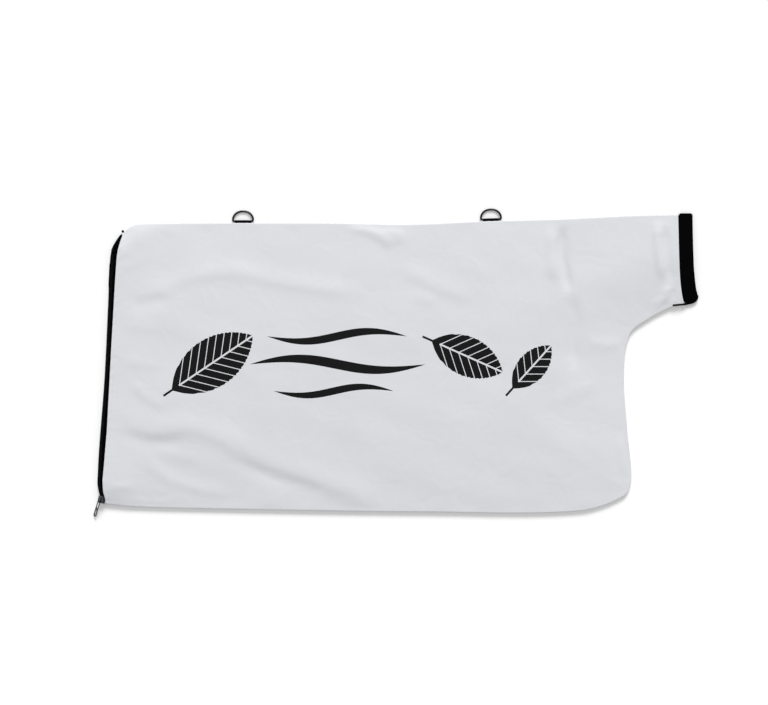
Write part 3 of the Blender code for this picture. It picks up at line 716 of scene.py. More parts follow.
@dataclass
class BagShape:
    """The lying bag's outline and rise, the same as the solids', with the zip's slight bow added.

    Sizes are in metres. A reach is the distance over which something fades, and the span is the bag's
    mean length from its hem to its mouth.
    """

    length: float = 0.784
    width: float = 0.432
    neck_length: float = 0.080
    neck_rise: float = 0.013
    mouth_width: float = 0.1345
    mouth_lean: float = 0.010
    seam_height: float = 0.0036
    seam_roll: float = 0.0012
    seam_gap: float = 0.0003
    body_height: float = 0.0130
    mouth_height: float = 0.0150
    mouth_bow: float = 0.0046
    slope_reach: float = 0.185
    slope_power: float = 1.7
    hem_slope_reach: float = 0.033
    neck_fall: float = 0.090
    underside_reach: float = 0.013
    hem_height: float = 0.0124
    hem_reach: float = 0.070
    hem_reveal: float = 0.0046
    foot_reveal: float = 0.0065
    head_reveal: float = 0.0069
    chain_length: float = 0.3735
    chain_lean: float = math.radians(2.70)
    chain_height: float = 0.0070
    head_rise: float = 0.0250
    head_shift: float = 0.0110
    head_curve: float = 1.6
    bow_depth: float = 0.0036
    bow_start: float = -0.194
    bow_rise: float = 0.022
    bow_end: float = 0.005
    bow_fall: float = 0.155
    mouth_bow_skew: float = 0.6
    ease: float = 0.014
    span: float = 0.88
    foot_place: tuple[float, float] = (-0.0058, 0.0172)
    corner_rise: float = 0.0093
    tip_place: tuple[float, float] = (0.0025, 0.0035)
    lower: FlatCurve = field(init=False)
    upper: FlatCurve = field(init=False)
    hem: FlatCurve = field(init=False)

    def __post_init__(self) -> None:
        """Lays the three curves that bound both panels."""
        left, right = -self.length / 2, self.length / 2
        bottom, top = -self.width / 2, self.width / 2
        self.mouth_x = right + self.neck_length
        self.mouth_top = top + self.neck_rise
        self.mouth_low = self.mouth_top - self.mouth_width
        self.foot = np.array([left + self.foot_place[0], bottom + self.foot_place[1]])
        self.head_y = self.foot[1] + self.chain_length * math.cos(self.chain_lean)
        corner = (self.chain_x(self.foot[1]) + self.foot_reveal, bottom + self.corner_rise)
        tip_y = self.head_y + self.head_rise
        tip = (self.chain_x(tip_y) + self.tip_place[0], tip_y + self.tip_place[1])
        self.lower = FlatCurve((
            corner,
            (left + 0.038, bottom + 0.0060),
            (left + 0.224, bottom + 0.0016),
            (0.080, bottom - 0.0018),
            (right - 0.074, bottom - 0.0005),
            (right - 0.006, bottom + 0.022),
            (right + 0.0050, bottom + 0.046),
            (right - 0.001, self.mouth_low - 0.190),
            (right - 0.006, self.mouth_low - 0.106),
            (right + 0.0028, self.mouth_low - 0.046),
            (right + 0.030, self.mouth_low - 0.023),
            (right + 0.068, self.mouth_low - 0.0035),
            (self.mouth_x + self.mouth_lean / 2, self.mouth_low),
        ))
        self.upper = FlatCurve((
            tip,
            (tip[0] + 0.0120, top - 0.0045),
            (tip[0] + 0.0270, top - 0.0008),
            (-0.065, top + 0.0002),
            (0.060, top - 0.0020),
            (0.168, top + 0.0026),
            (0.295, top + 0.0062),
            (right, self.mouth_top - 0.0020),
            (self.mouth_x - self.mouth_lean / 2, self.mouth_top),
        ))
        reveals = [(-0.170, 0.0042), (-0.150, 0.0050), (-0.125, 0.0056), (-0.095, 0.0058), (-0.060, 0.0049)]
        reveals += [(0.080, self.hem_reveal), (self.head_y - 0.030, 0.0054), (self.head_y, self.head_reveal)]
        self.hem = FlatCurve([
            corner, (-0.3925, -0.2020), (-0.3929, -0.1965), (-0.3947, -0.1905), (-0.3954, -0.1845),
            *[(self.chain_x(y) + reveal, y) for y, reveal in reveals], tip,
        ])

    def chain_x(self, y: Array | float) -> Array:
        """Follows the zip's middle line, with its bow near the foot and its bend past the head.

        Args:
            y: Places along the zip.

        Returns:
            X of the middle line at those places.
        """
        y = np.asarray(y)
        straight = self.foot[0] + (y - self.foot[1]) * math.tan(self.chain_lean)
        past = np.maximum((y - self.head_y) / self.head_rise, 0.0)
        bow = smooth((y - self.bow_start) / self.bow_rise) * smooth((self.bow_end - y) / self.bow_fall)
        return straight + self.head_shift * past ** self.head_curve - self.bow_depth * bow

    def mouth(self, across: Array) -> Array:
        """Follows the mouth's edge, which is bowed towards the bag.

        Args:
            across: Shares from its lower end to its upper one.

        Returns:
            Flat places on the edge.
        """
        across = np.asarray(across)[..., None]
        bow = self.mouth_bow * np.sin(math.pi * np.clip(across, 0.0, 1.0) ** self.mouth_bow_skew)
        straight = self.lower.at(np.array(1.0)) * (1 - across) + self.upper.at(np.array(1.0)) * across
        return straight - np.concatenate([bow, np.zeros_like(bow)], axis=-1)

    def on_bag(self, across: Array, along: Array) -> Array:
        """Spans the bag between its four bounds.

        Args:
            across: Shares from the lower seam to the upper one.
            along: Shares from the zip to the mouth.

        Returns:
            Flat places on the bag.
        """
        u, v = np.broadcast_arrays(np.asarray(across, float), np.asarray(along, float))
        low, high = self.lower.at(v), self.upper.at(v)
        hem, mouth = self.hem.at(u), self.mouth(u)
        zero, one = np.array(0.0), np.array(1.0)
        u, v = u[..., None], v[..., None]
        corners = (self.lower.at(zero) * (1 - u) * (1 - v) + self.upper.at(zero) * u * (1 - v)
                   + self.lower.at(one) * (1 - u) * v + self.upper.at(one) * u * v)
        return low * (1 - u) + high * u + hem * (1 - v) + mouth * v - corners

    def seam_distance(self, places: Array) -> Array:
        """Distance of flat places from the nearer long seam."""
        return np.minimum(self.lower.distance(places), self.upper.distance(places))

    def eased_distance(self, places: Array) -> Array:
        """Distance from the seams, eased where both are about as far, so that no ridge runs between them."""
        low, high = self.lower.distance(places), self.upper.distance(places)
        return np.maximum(-self.ease * np.logaddexp(-low / self.ease, -high / self.ease), 0.0)

    def rise(self, seam: Array, reach: float) -> Array:
        """Share of its full rise that the front cloth has at this distance from a seam."""
        return 1.0 - (1.0 - np.minimum(seam / reach, 1.0)) ** self.slope_power

    def front_height(self, places: Array) -> Array:
        """Finds the front cloth's height before its creases.

        Args:
            places: Flat places on the bag.

        Returns:
            Heights over the ground.
        """
        seam = self.eased_distance(places)
        x, y = places[..., 0], places[..., 1]
        inside = np.maximum(x - self.chain_x(y) - self.hem_reveal, 0.0)
        blend = smooth(inside / self.hem_reach)
        rise = self.rise(seam, self.slope_reach) * blend + self.rise(seam, self.hem_slope_reach) * (1.0 - blend)
        neck = smooth((x - (self.mouth_x - self.neck_fall)) / self.neck_fall)
        crown = self.body_height + (self.mouth_height - self.body_height) * neck
        base = self.seam_height + self.seam_gap / 2 + 2 * self.seam_roll
        share = (self.hem_height - base) / (self.body_height - base)
        return base + (crown - base) * rise * (share + (1.0 - share) * blend)

    def back_height(self, places: Array) -> Array:
        """Finds the back cloth's height: on the ground, and curling up to the seam.

        Args:
            places: Flat places on the bag.

        Returns:
            Heights over the ground.
        """
        seam = self.seam_distance(places)
        edge = self.seam_height - self.seam_gap / 2 - 2 * self.seam_roll
        return edge * (1.0 - smooth((seam - self.seam_roll) / self.underside_reach))


# Cloth panels


@dataclass(frozen=True)
class Fold:
    """A crease: its crest line in metres, its height and how wide it is to its left and right."""

    line: tuple[tuple[float, float], ...]
    height: float
    left: float
    right: float
    fade: float = 0.18

    def lift(self, places: Array) -> Array:
        """Raises the cloth along the crest, fading to both sides and to its ends.

        Args:
            places: Flat places on the bag.

        Returns:
            The height that the crease adds at each place.
        """
        crest = FlatCurve(self.line).points[::6]
        reach = 3.0 * max(self.left, self.right)
        low, high = crest.min(axis=0) - reach, crest.max(axis=0) + reach
        near = np.all((places > low) & (places < high), axis=-1)
        added = np.zeros(places.shape[:-1])
        if near.any():
            apart, side, share = nearest(crest, places[near])
            width = np.where(side > 0, self.left, self.right)
            ends = smooth(share / self.fade) * smooth((1.0 - share) / self.fade)
            added[near] = self.height * ends * np.exp(-((apart / width) ** 2))
        return added


def pixels(*points: tuple[float, float]) -> tuple[tuple[float, float], ...]:
    """Turns places counted in the picture's frame, 1.5 mm each, to metres in the bag's frame."""
    return tuple(((x - 367.0) * 1.5 * MM, (367.0 - y) * 1.5 * MM) for x, y in points)


# Crest lines laid in the picture's frame; heights and widths in metres
FRONT_FOLDS: tuple[Fold, ...] = (
    Fold(pixels((118, 418), (140, 428), (160, 431), (190, 427), (215, 435), (245, 451), (285, 469), (325, 483),
                (355, 494), (382, 509)), 0.0021, 0.021, 0.0140),
    Fold(pixels((118, 430), (138, 439), (165, 442), (190, 439)), -0.0012, 0.008, 0.012, 0.3),
    Fold(pixels((225, 455), (262, 472), (300, 484), (335, 494)), -0.0013, 0.008, 0.014, 0.3),
    Fold(pixels((132, 452), (158, 472), (186, 486), (240, 496)), 0.0012, 0.011, 0.009, 0.3),
    Fold(pixels((150, 448), (176, 455), (205, 462)), 0.0007, 0.010, 0.010, 0.35),
    Fold(pixels((130, 380), (146, 396), (168, 411)), 0.0011, 0.010, 0.008, 0.3),
    Fold(pixels((128, 297), (160, 292), (181, 280), (205, 275), (240, 273), (270, 280), (300, 285), (335, 290),
                (372, 292)), 0.0011, 0.014, 0.010),
    Fold(pixels((126, 306), (150, 302), (172, 296)), -0.0011, 0.010, 0.012, 0.3),
    Fold(pixels((343, 223), (366, 228), (384, 238), (394, 250)), 0.0024, 0.012, 0.009, 0.25),
    Fold(pixels((384, 223), (396, 232), (404, 246)), 0.0011, 0.009, 0.009, 0.3),
    Fold(pixels((396, 266), (412, 274), (434, 285), (456, 294), (478, 300)), 0.0011, 0.013, 0.010, 0.25),
    Fold(pixels((410, 292), (424, 299), (440, 304)), 0.0008, 0.010, 0.009, 0.35),
    Fold(pixels((448, 262), (476, 270), (505, 277)), 0.0006, 0.014, 0.011, 0.35),
    Fold(pixels((553, 222), (552, 248), (553, 268), (554, 284)), 0.0022, 0.009, 0.010, 0.3),
    Fold(pixels((564, 222), (562, 250), (567, 282), (569, 296)), -0.0030, 0.007, 0.008, 0.25),
    Fold(pixels((571, 290), (575, 320), (573, 345), (576, 372)), -0.0020, 0.009, 0.009, 0.25),
    Fold(pixels((586, 343), (606, 344), (626, 343)), 0.0008, 0.008, 0.009, 0.25),
    Fold(pixels((545, 404), (566, 396), (590, 387), (604, 384)), 0.0008, 0.012, 0.011, 0.3),
    Fold(pixels((620, 432), (624, 455), (626, 478)), 0.0010, 0.009, 0.010, 0.3),
    Fold(pixels((657, 218), (658, 245), (661, 268), (663, 284)), 0.0028, 0.009, 0.006, 0.25),
    Fold(pixels((665, 224), (666, 250), (669, 272), (670, 286)), -0.0022, 0.006, 0.007, 0.25),
    Fold(pixels((668, 284), (667, 293), (664, 301), (662, 307)), 0.0020, 0.004, 0.005, 0.3),
    Fold(pixels((672, 288), (674, 296), (673, 302)), -0.0008, 0.004, 0.004, 0.3),
    Fold(pixels((656, 296), (658, 304), (660, 312)), 0.0011, 0.004, 0.005, 0.3),
    Fold(pixels((118, 360), (140, 363), (164, 369)), 0.0006, 0.009, 0.009, 0.35),
    Fold(pixels((120, 328), (140, 326), (160, 330)), 0.0005, 0.009, 0.009, 0.35),
    Fold(pixels((122, 272), (134, 264), (146, 256)), 0.0006, 0.008, 0.008, 0.35),
    Fold(pixels((107, 490), (122, 486), (138, 488)), 0.0006, 0.006, 0.006, 0.35),
    Fold(pixels((125, 500), (150, 502), (178, 505)), 0.0006, 0.004, 0.006, 0.3),
)
# The hidden side has a few slack creases that rise into the bag
BACK_FOLDS: tuple[Fold, ...] = (
    Fold(((-0.33, 0.12), (-0.20, 0.10), (-0.05, 0.13)), 0.0015, 0.012, 0.015, 0.3),
    Fold(((-0.30, -0.14), (-0.12, -0.10), (0.06, -0.13)), 0.0016, 0.014, 0.011, 0.3),
    Fold(((0.12, 0.02), (0.22, -0.04), (0.33, -0.03)), 0.0013, 0.012, 0.012, 0.3),
    Fold(((0.31, 0.19), (0.35, 0.12), (0.39, 0.06)), 0.0014, 0.010, 0.012, 0.3),
    Fold(((0.02, 0.16), (0.09, 0.10), (0.10, 0.04)), 0.0011, 0.012, 0.010, 0.3),
)


@dataclass(frozen=True)
class Gather:
    """Small waves that stitching draws in an edge of cloth: height, spacing, drift and reach from the edge."""

    height: float
    pitch: float
    drift: float
    drift_pitch: float
    reach: float

    def lift(self, run: Array, depth: Array) -> Array:
        """Raises the cloth in waves along the edge, fading away from it.

        Args:
            run: Distances along the edge.
            depth: Distances from it.

        Returns:
            The height that the waves add at each place.
        """
        drift = self.drift * np.sin(2 * math.pi * run / self.drift_pitch)
        return self.height * np.sin(2 * math.pi * run / self.pitch + drift) * np.exp(-depth / self.reach)


@dataclass
class ClothPanel:
    """One cloth of the bag: turned seams along both sides, a folded hem at the zip and at the neck.

    Its side is 1 for the front and -1 for the back. Gathers and dents are what the stitching draws in.
    """

    SEAM_STEPS = np.array([0.0017, 0.0026, 0.0038, 0.0055, 0.0078, 0.0108, 0.0145])
    END_STEPS = np.array([0.0, 0.0008, 0.0016, 0.0024, 0.0031, 0.0036, 0.0041, 0.0047, 0.0056, 0.0072, 0.010, 0.014])
    FOLD_STEPS = (0.0070, 0.0042, 0.0020, 0.0008)
    ROLL_ANGLES = (-90.0, -55.0, -20.0, 15.0, 50.0, 78.0)
    FOLD_ANGLES = (165.0, 130.0, 95.0, 60.0, 28.0)
    STITCHED = (0.006, 0.994)

    shape: BagShape
    name: str
    side: float
    folds: tuple[Fold, ...]
    columns: int
    rows: int
    thickness: float = 0.00045
    allowance: float = 0.009
    end_allowance: float = 0.0018
    hem_depth: float = 0.010
    fold_gap: float = 0.0010
    fold_tuck: float = 0.0016
    tuck_reach: float = 0.004
    stitch_inset: float = 0.0040
    stitch_pitch: float = 0.0032
    thread: float = 0.00042
    thread_sink: float = 0.00008
    dent: float = 0.00022
    dent_width: float = 0.0008
    seam_gather: Gather = Gather(height=0.00022, pitch=0.0092, drift=1.8, drift_pitch=0.057, reach=0.005)
    hem_gather: Gather = Gather(height=0.00030, pitch=0.0115, drift=2.0, drift_pitch=0.083, reach=0.006)
    edge_share: float = 0.8
    waves: int = 16
    wave_height: float = 0.00008
    wave_lengths: tuple[float, float] = (0.045, 0.170)
    calm_reach: float = 0.014
    clip_start: float = 0.006
    clip_run: float = 0.030

    def height(self, places: Array) -> Array:
        """Finds the height of the panel's outer face, creases and slow random waves included.

        Args:
            places: Flat places on the bag.

        Returns:
            Heights over the ground.
        """
        height = self.shape.front_height(places) if self.side > 0 else self.shape.back_height(places)
        extra = np.zeros(places.shape[:-1])
        for fold in self.folds:
            extra += fold.lift(places)
        draw = np.random.default_rng(11 if self.side > 0 else 12)
        x, y = places[..., 0], places[..., 1]
        for _ in range(self.waves):
            heading = draw.uniform(0.0, 2 * math.pi)
            wave = 2 * math.pi / draw.uniform(*self.wave_lengths)
            lean = np.cos(heading) * x + np.sin(heading) * y
            extra += self.wave_height * self.side * np.sin(wave * lean + draw.uniform(0.0, 6.3))
        low = np.maximum(extra, 0.0) if self.side < 0 else extra
        return height + low * smooth(self.shape.seam_distance(places) / self.calm_reach)

    def dented(self, distance: Array) -> Array:
        """Depth of the dent that a row of stitches draws in the cloth at this distance from its edge."""
        return self.dent * np.exp(-(((distance - self.stitch_inset) / self.dent_width) ** 2))

    def edge_rows(self, curve: FlatCurve, along: Array, inward: float) -> list[Array]:
        """Lays the cloth round a turned seam.

        Args:
            curve: The seam's line.
            along: Shares of its length.
            inward: 1 where the bag is to the left of the line, -1 to its right.

        Returns:
            Rows of points, from the end of the allowance to the top of the seam's roll.
        """
        edge = curve.at(along)
        normal = curve.normal(along) * inward
        run = along * curve.total
        base = self.shape.seam_height + self.side * self.shape.seam_gap / 2
        roll = self.shape.seam_roll
        # The allowance is clipped short next to both ends, so that it doesn't stand out of them
        taper = smooth((np.minimum(along, 1.0 - along) * curve.total - self.clip_start) / self.clip_run)
        rows: list[tuple[Any, float]] = []
        for depth in (self.allowance, self.allowance * 0.6):
            rows.append((self.end_allowance + (depth - self.end_allowance) * taper, 0.0))
        for angle in self.ROLL_ANGLES:
            turn = math.radians(angle)
            rows.append((roll * (1.0 - math.cos(turn)), roll * (1.0 + math.sin(turn))))
        wave = self.seam_gather.lift(run, np.zeros_like(run)) * self.edge_share
        made = []
        for back, up in rows:
            spot = edge + normal * (back + wave)[:, None]
            made.append(np.concatenate([spot, np.full((len(along), 1), base + self.side * up)], axis=1))
        return made

    def surface(self, along: Array) -> Array:
        """Every point of the panel for these shares along it.

        Args:
            along: Shares from the zip to the mouth.

        Returns:
            Points by column, row and axis.
        """
        lower = self.edge_rows(self.shape.lower, along, 1.0)
        upper = self.edge_rows(self.shape.upper, along, -1.0)
        width = np.linalg.norm(self.shape.upper.at(along) - self.shape.lower.at(along), axis=1)
        near = self.SEAM_STEPS
        shares = [distance / width for distance in near]
        start = near[-1] / width
        shares += [start + (1.0 - 2 * start) * k / self.rows for k in range(1, self.rows)]
        shares += [1.0 - distance / width for distance in near[::-1]]
        across = np.stack(shares, axis=1)
        flat = self.shape.on_bag(across, along[:, None])
        height = self.height(flat)
        for curve in (self.shape.lower, self.shape.upper):
            height += self.side * self.seam_gather.lift(along[:, None] * curve.total, curve.distance(flat))
        hem = self.shape.hem.distance(flat)
        height -= self.side * self.dented(hem)
        height += self.side * self.hem_gather.lift(across * self.shape.hem.total, hem)
        mouth = np.abs(self.shape.mouth(across)[..., 0] - flat[..., 0])
        height -= self.side * self.dented(mouth)
        middle = np.concatenate([flat, height[..., None]], axis=2)
        return np.concatenate([np.stack(lower, axis=1), middle, np.stack(upper[::-1], axis=1)], axis=1)

    def turned(self, end: float) -> Array:
        """Points of the cloth folded under at one end, from its raw edge to its roll.

        Args:
            end: 0 for the hem at the zip, 1 for the mouth.

        Returns:
            Points by column, row and axis, in order from the raw edge outwards.
        """
        depths = np.array([self.hem_depth, *self.FOLD_STEPS])
        inner = depths * (1.0 / self.shape.span)
        along = inner if end == 0 else 1.0 - inner
        under = self.surface(along)
        seam = self.shape.seam_distance(under[..., :2])
        middle_y = under[..., 1].mean(axis=1, keepdims=True)
        under[..., 1] += np.sign(middle_y - under[..., 1]) * self.fold_tuck * np.exp(-seam / self.tuck_reach)
        under[..., 2] -= self.side * self.fold_gap
        edge = self.surface(np.array([end]))[0]
        step = self.surface(np.array([abs(end - FlatCurve.STEP)]))[0]
        outward = edge - step
        outward[:, 2] = 0.0
        outward /= np.linalg.norm(outward, axis=1, keepdims=True)
        radius = self.fold_gap / 2
        roll = []
        for angle in self.FOLD_ANGLES:
            turn = math.radians(angle)
            spot = edge + outward * radius * math.sin(turn)
            spot[:, 2] -= self.side * radius * (1.0 - math.cos(turn))
            roll.append(spot)
        return np.concatenate([under, np.stack(roll)])

    def stations(self) -> Array:
        """Spaces the panel's columns: close together near both ends, even between.

        Returns:
            Shares along the panel.
        """
        near = self.END_STEPS / self.shape.span
        middle = np.linspace(near[-1], 1.0 - near[-1], self.columns)[1:-1]
        return np.concatenate([near, middle, 1.0 - near[::-1]])

    def build(self) -> bpy.types.Object:
        """Makes the cloth with its folded ends and its thickness.

        Returns:
            The panel.
        """
        points = np.concatenate([self.turned(0.0), self.surface(self.stations()), self.turned(1.0)[::-1]])
        return thickened(laid_grid(self.name, points if self.side > 0 else points[:, ::-1]), self.thickness)

    def line_on(self, end: float, inset: float, count: int = 420) -> Array:
        """Draws a line on the outer face beside the hem or the mouth.

        Args:
            end: 0 for the hem at the zip, 1 for the mouth.
            inset: Distance from that edge.
            count: Number of points.

        Returns:
            The line's points.
        """
        share = np.linspace(*self.STITCHED, count)
        along = np.full(count, abs(end - inset / self.shape.span))
        flat = self.shape.on_bag(share, along)
        return np.concatenate([flat, self.height(flat)[:, None] - self.side * self.thread_sink], axis=1)

    def stitches(self) -> bpy.types.Object:
        """Lays lockstitch along the hem and round the mouth, in thread a shade lighter than the cloth.

        Returns:
            All the stitches.
        """
        places = [place for end in (0.0, 1.0)
                  for place in stitch_row(self.line_on(end, self.stitch_inset), self.stitch_pitch)]
        return threads(self.name + "_stitches", places, self.stitch_pitch * 0.80, self.thread)


# Neck


@dataclass
class NeckBand:
    """Ribbed elastic sewn inside the mouth, with its joined ends showing at the lower corner."""

    shape: BagShape
    shown: float = 0.0222
    lap: float = 0.009
    thickness: float = 0.0011
    inset: float = 0.0020
    flare: float = 0.0040
    flare_run: float = 0.0045
    narrowing: float = 0.0055
    corner: float = 0.0032
    fray_y: float = 0.1090
    fray: float = 0.0008
    spread: float = 0.0010
    around: int = 120
    along: int = 46
    rib: float = 0.0021
    rib_height: float = 0.00016
    bulge: float = 0.0007
    bulge_start: float = -0.001
    bulge_run: float = 0.006
    edge_run: float = 0.0012
    back_swell: float = 0.3
    back_gap: float = 0.0011
    front_gap: float = 0.0022
    least_room: float = 0.0004
    narrowing_power: float = 1.4
    fray_width: float = 0.0056
    fray_wave: float = 0.22
    fray_waves: float = 4200.0
    spread_top: float = 0.160
    spread_run: float = 0.045
    spread_foot: float = 0.0985
    spread_fall: float = 0.006
    joint_line: tuple[tuple[float, float], ...] = pixels(
        (673.0, 305.4), (678.0, 304.9), (684.0, 304.3), (689.0, 303.2), (694.0, 301.5), (697.2, 298.6),
        (697.6, 295.0))
    joint_width: float = 0.0011
    joint_swell: float = 0.0009
    joint_height: float = 0.0071
    joint_fall: float = 0.0030
    joint_crown: float = 0.0008
    joint_thickness: float = 0.0008
    joint_fray: float = 0.00025
    joint_points: int = 60

    def section(self, out: float, swell: float) -> Array:
        """Lays one closed section of the band.

        Args:
            out: Distance outside the mouth's edge.
            swell: How far its faces stand out there.

        Returns:
            The section's points, the last one the same as the first.
        """
        loose = float(smooth(np.array(out / self.shown)))
        last = min(max((out - self.shown + self.corner) / self.corner, 0.0), 1.0)
        turned = self.corner * (1.0 - math.sqrt(1.0 - last ** 2))
        flare = self.flare * float(smooth(np.array(out / self.flare_run)))
        low_share = (self.inset + self.narrowing * loose ** self.narrowing_power) / self.shape.mouth_width
        high_share = 1.0 - (self.inset - flare + turned) / self.shape.mouth_width
        shares = np.linspace(low_share, high_share, self.around + 1)
        spot = self.shape.mouth(shares)
        seam = np.maximum(np.minimum(shares, 1.0 - shares), 0.0) * self.shape.mouth_width
        base = self.shape.seam_height + self.shape.seam_gap / 2 + 2 * self.shape.seam_roll
        low = self.shape.back_height(spot) + self.back_gap
        rise = self.shape.rise(seam, self.shape.slope_reach)
        top = base + (self.shape.mouth_height - base) * rise - self.front_gap + swell
        top = np.maximum(top, low + 2 * self.thickness + self.least_room)
        # The sewn joint has frayed a little and stands out past the free edge near its lower end
        y = spot[:, 1]
        ragged = 1.0 + self.fray_wave * np.sin(y * self.fray_waves)
        frayed = np.exp(-(((y - self.fray_y) / self.fray_width) ** 4)) * ragged
        spread = (self.spread * smooth((self.spread_top - y) / self.spread_run)
                  * smooth((y - self.spread_foot) / self.spread_fall))
        x = spot[:, 0] + out + (spread * loose + self.fray * loose ** 3 * frayed)
        upper = np.stack([x, spot[:, 1], top], axis=1)
        lower = np.stack([x, spot[:, 1], low - swell * self.back_swell], axis=1)[::-1]
        return np.concatenate([upper, lower, upper[:1]])

    def build(self) -> bpy.types.Object:
        """Makes the band as a ribbed tube pressed flat.

        Returns:
            The band.
        """
        outs = np.linspace(-self.lap, self.shown, self.along + 1)
        sections = []
        for out in outs:
            edge = smooth(np.array((self.shown - out) / self.edge_run))
            ribs = self.rib_height * math.cos(2 * math.pi * out / self.rib) * edge
            bulge = self.bulge * smooth(np.array((out - self.bulge_start) / self.bulge_run)) * edge
            sections.append(self.section(out, float(ribs + bulge)))
        points = np.stack(sections)
        surface = np.stack(np.broadcast_arrays(lengths_along(points[0]), outs[:, None]), axis=2)
        return thickened(laid_grid("neck_elastic", points, around=True, surface=surface), self.thickness)

    def joint(self) -> bpy.types.Object:
        """Makes the band's sewn ends, a thin dark edge that runs on below the corner of the cloth.

        Returns:
            The joint.
        """
        line = FlatCurve(self.joint_line)
        share = np.linspace(0.0, 1.0, self.joint_points)
        middle, normal = line.at(share), line.normal(share)
        wide = self.joint_width + self.joint_swell * smooth((share - 0.25) / 0.5)
        height = self.joint_height - self.joint_fall * smooth((share - 0.30) / 0.25)
        draw = np.random.default_rng(5)
        fray = draw.uniform(-self.joint_fray, self.joint_fray, self.joint_points) * smooth((share - 0.5) / 0.3)
        rows = []
        for row in np.linspace(-1.0, 1.0, 7):
            spot = middle + normal * (row * wide + fray)[:, None]
            rows.append(np.concatenate([spot, (height + self.joint_crown * (1.0 - row ** 2))[:, None]], axis=1))
        return thickened(laid_grid("neck_elastic_joint", np.stack(rows, axis=1)), self.joint_thickness, 0.0)


# Zip


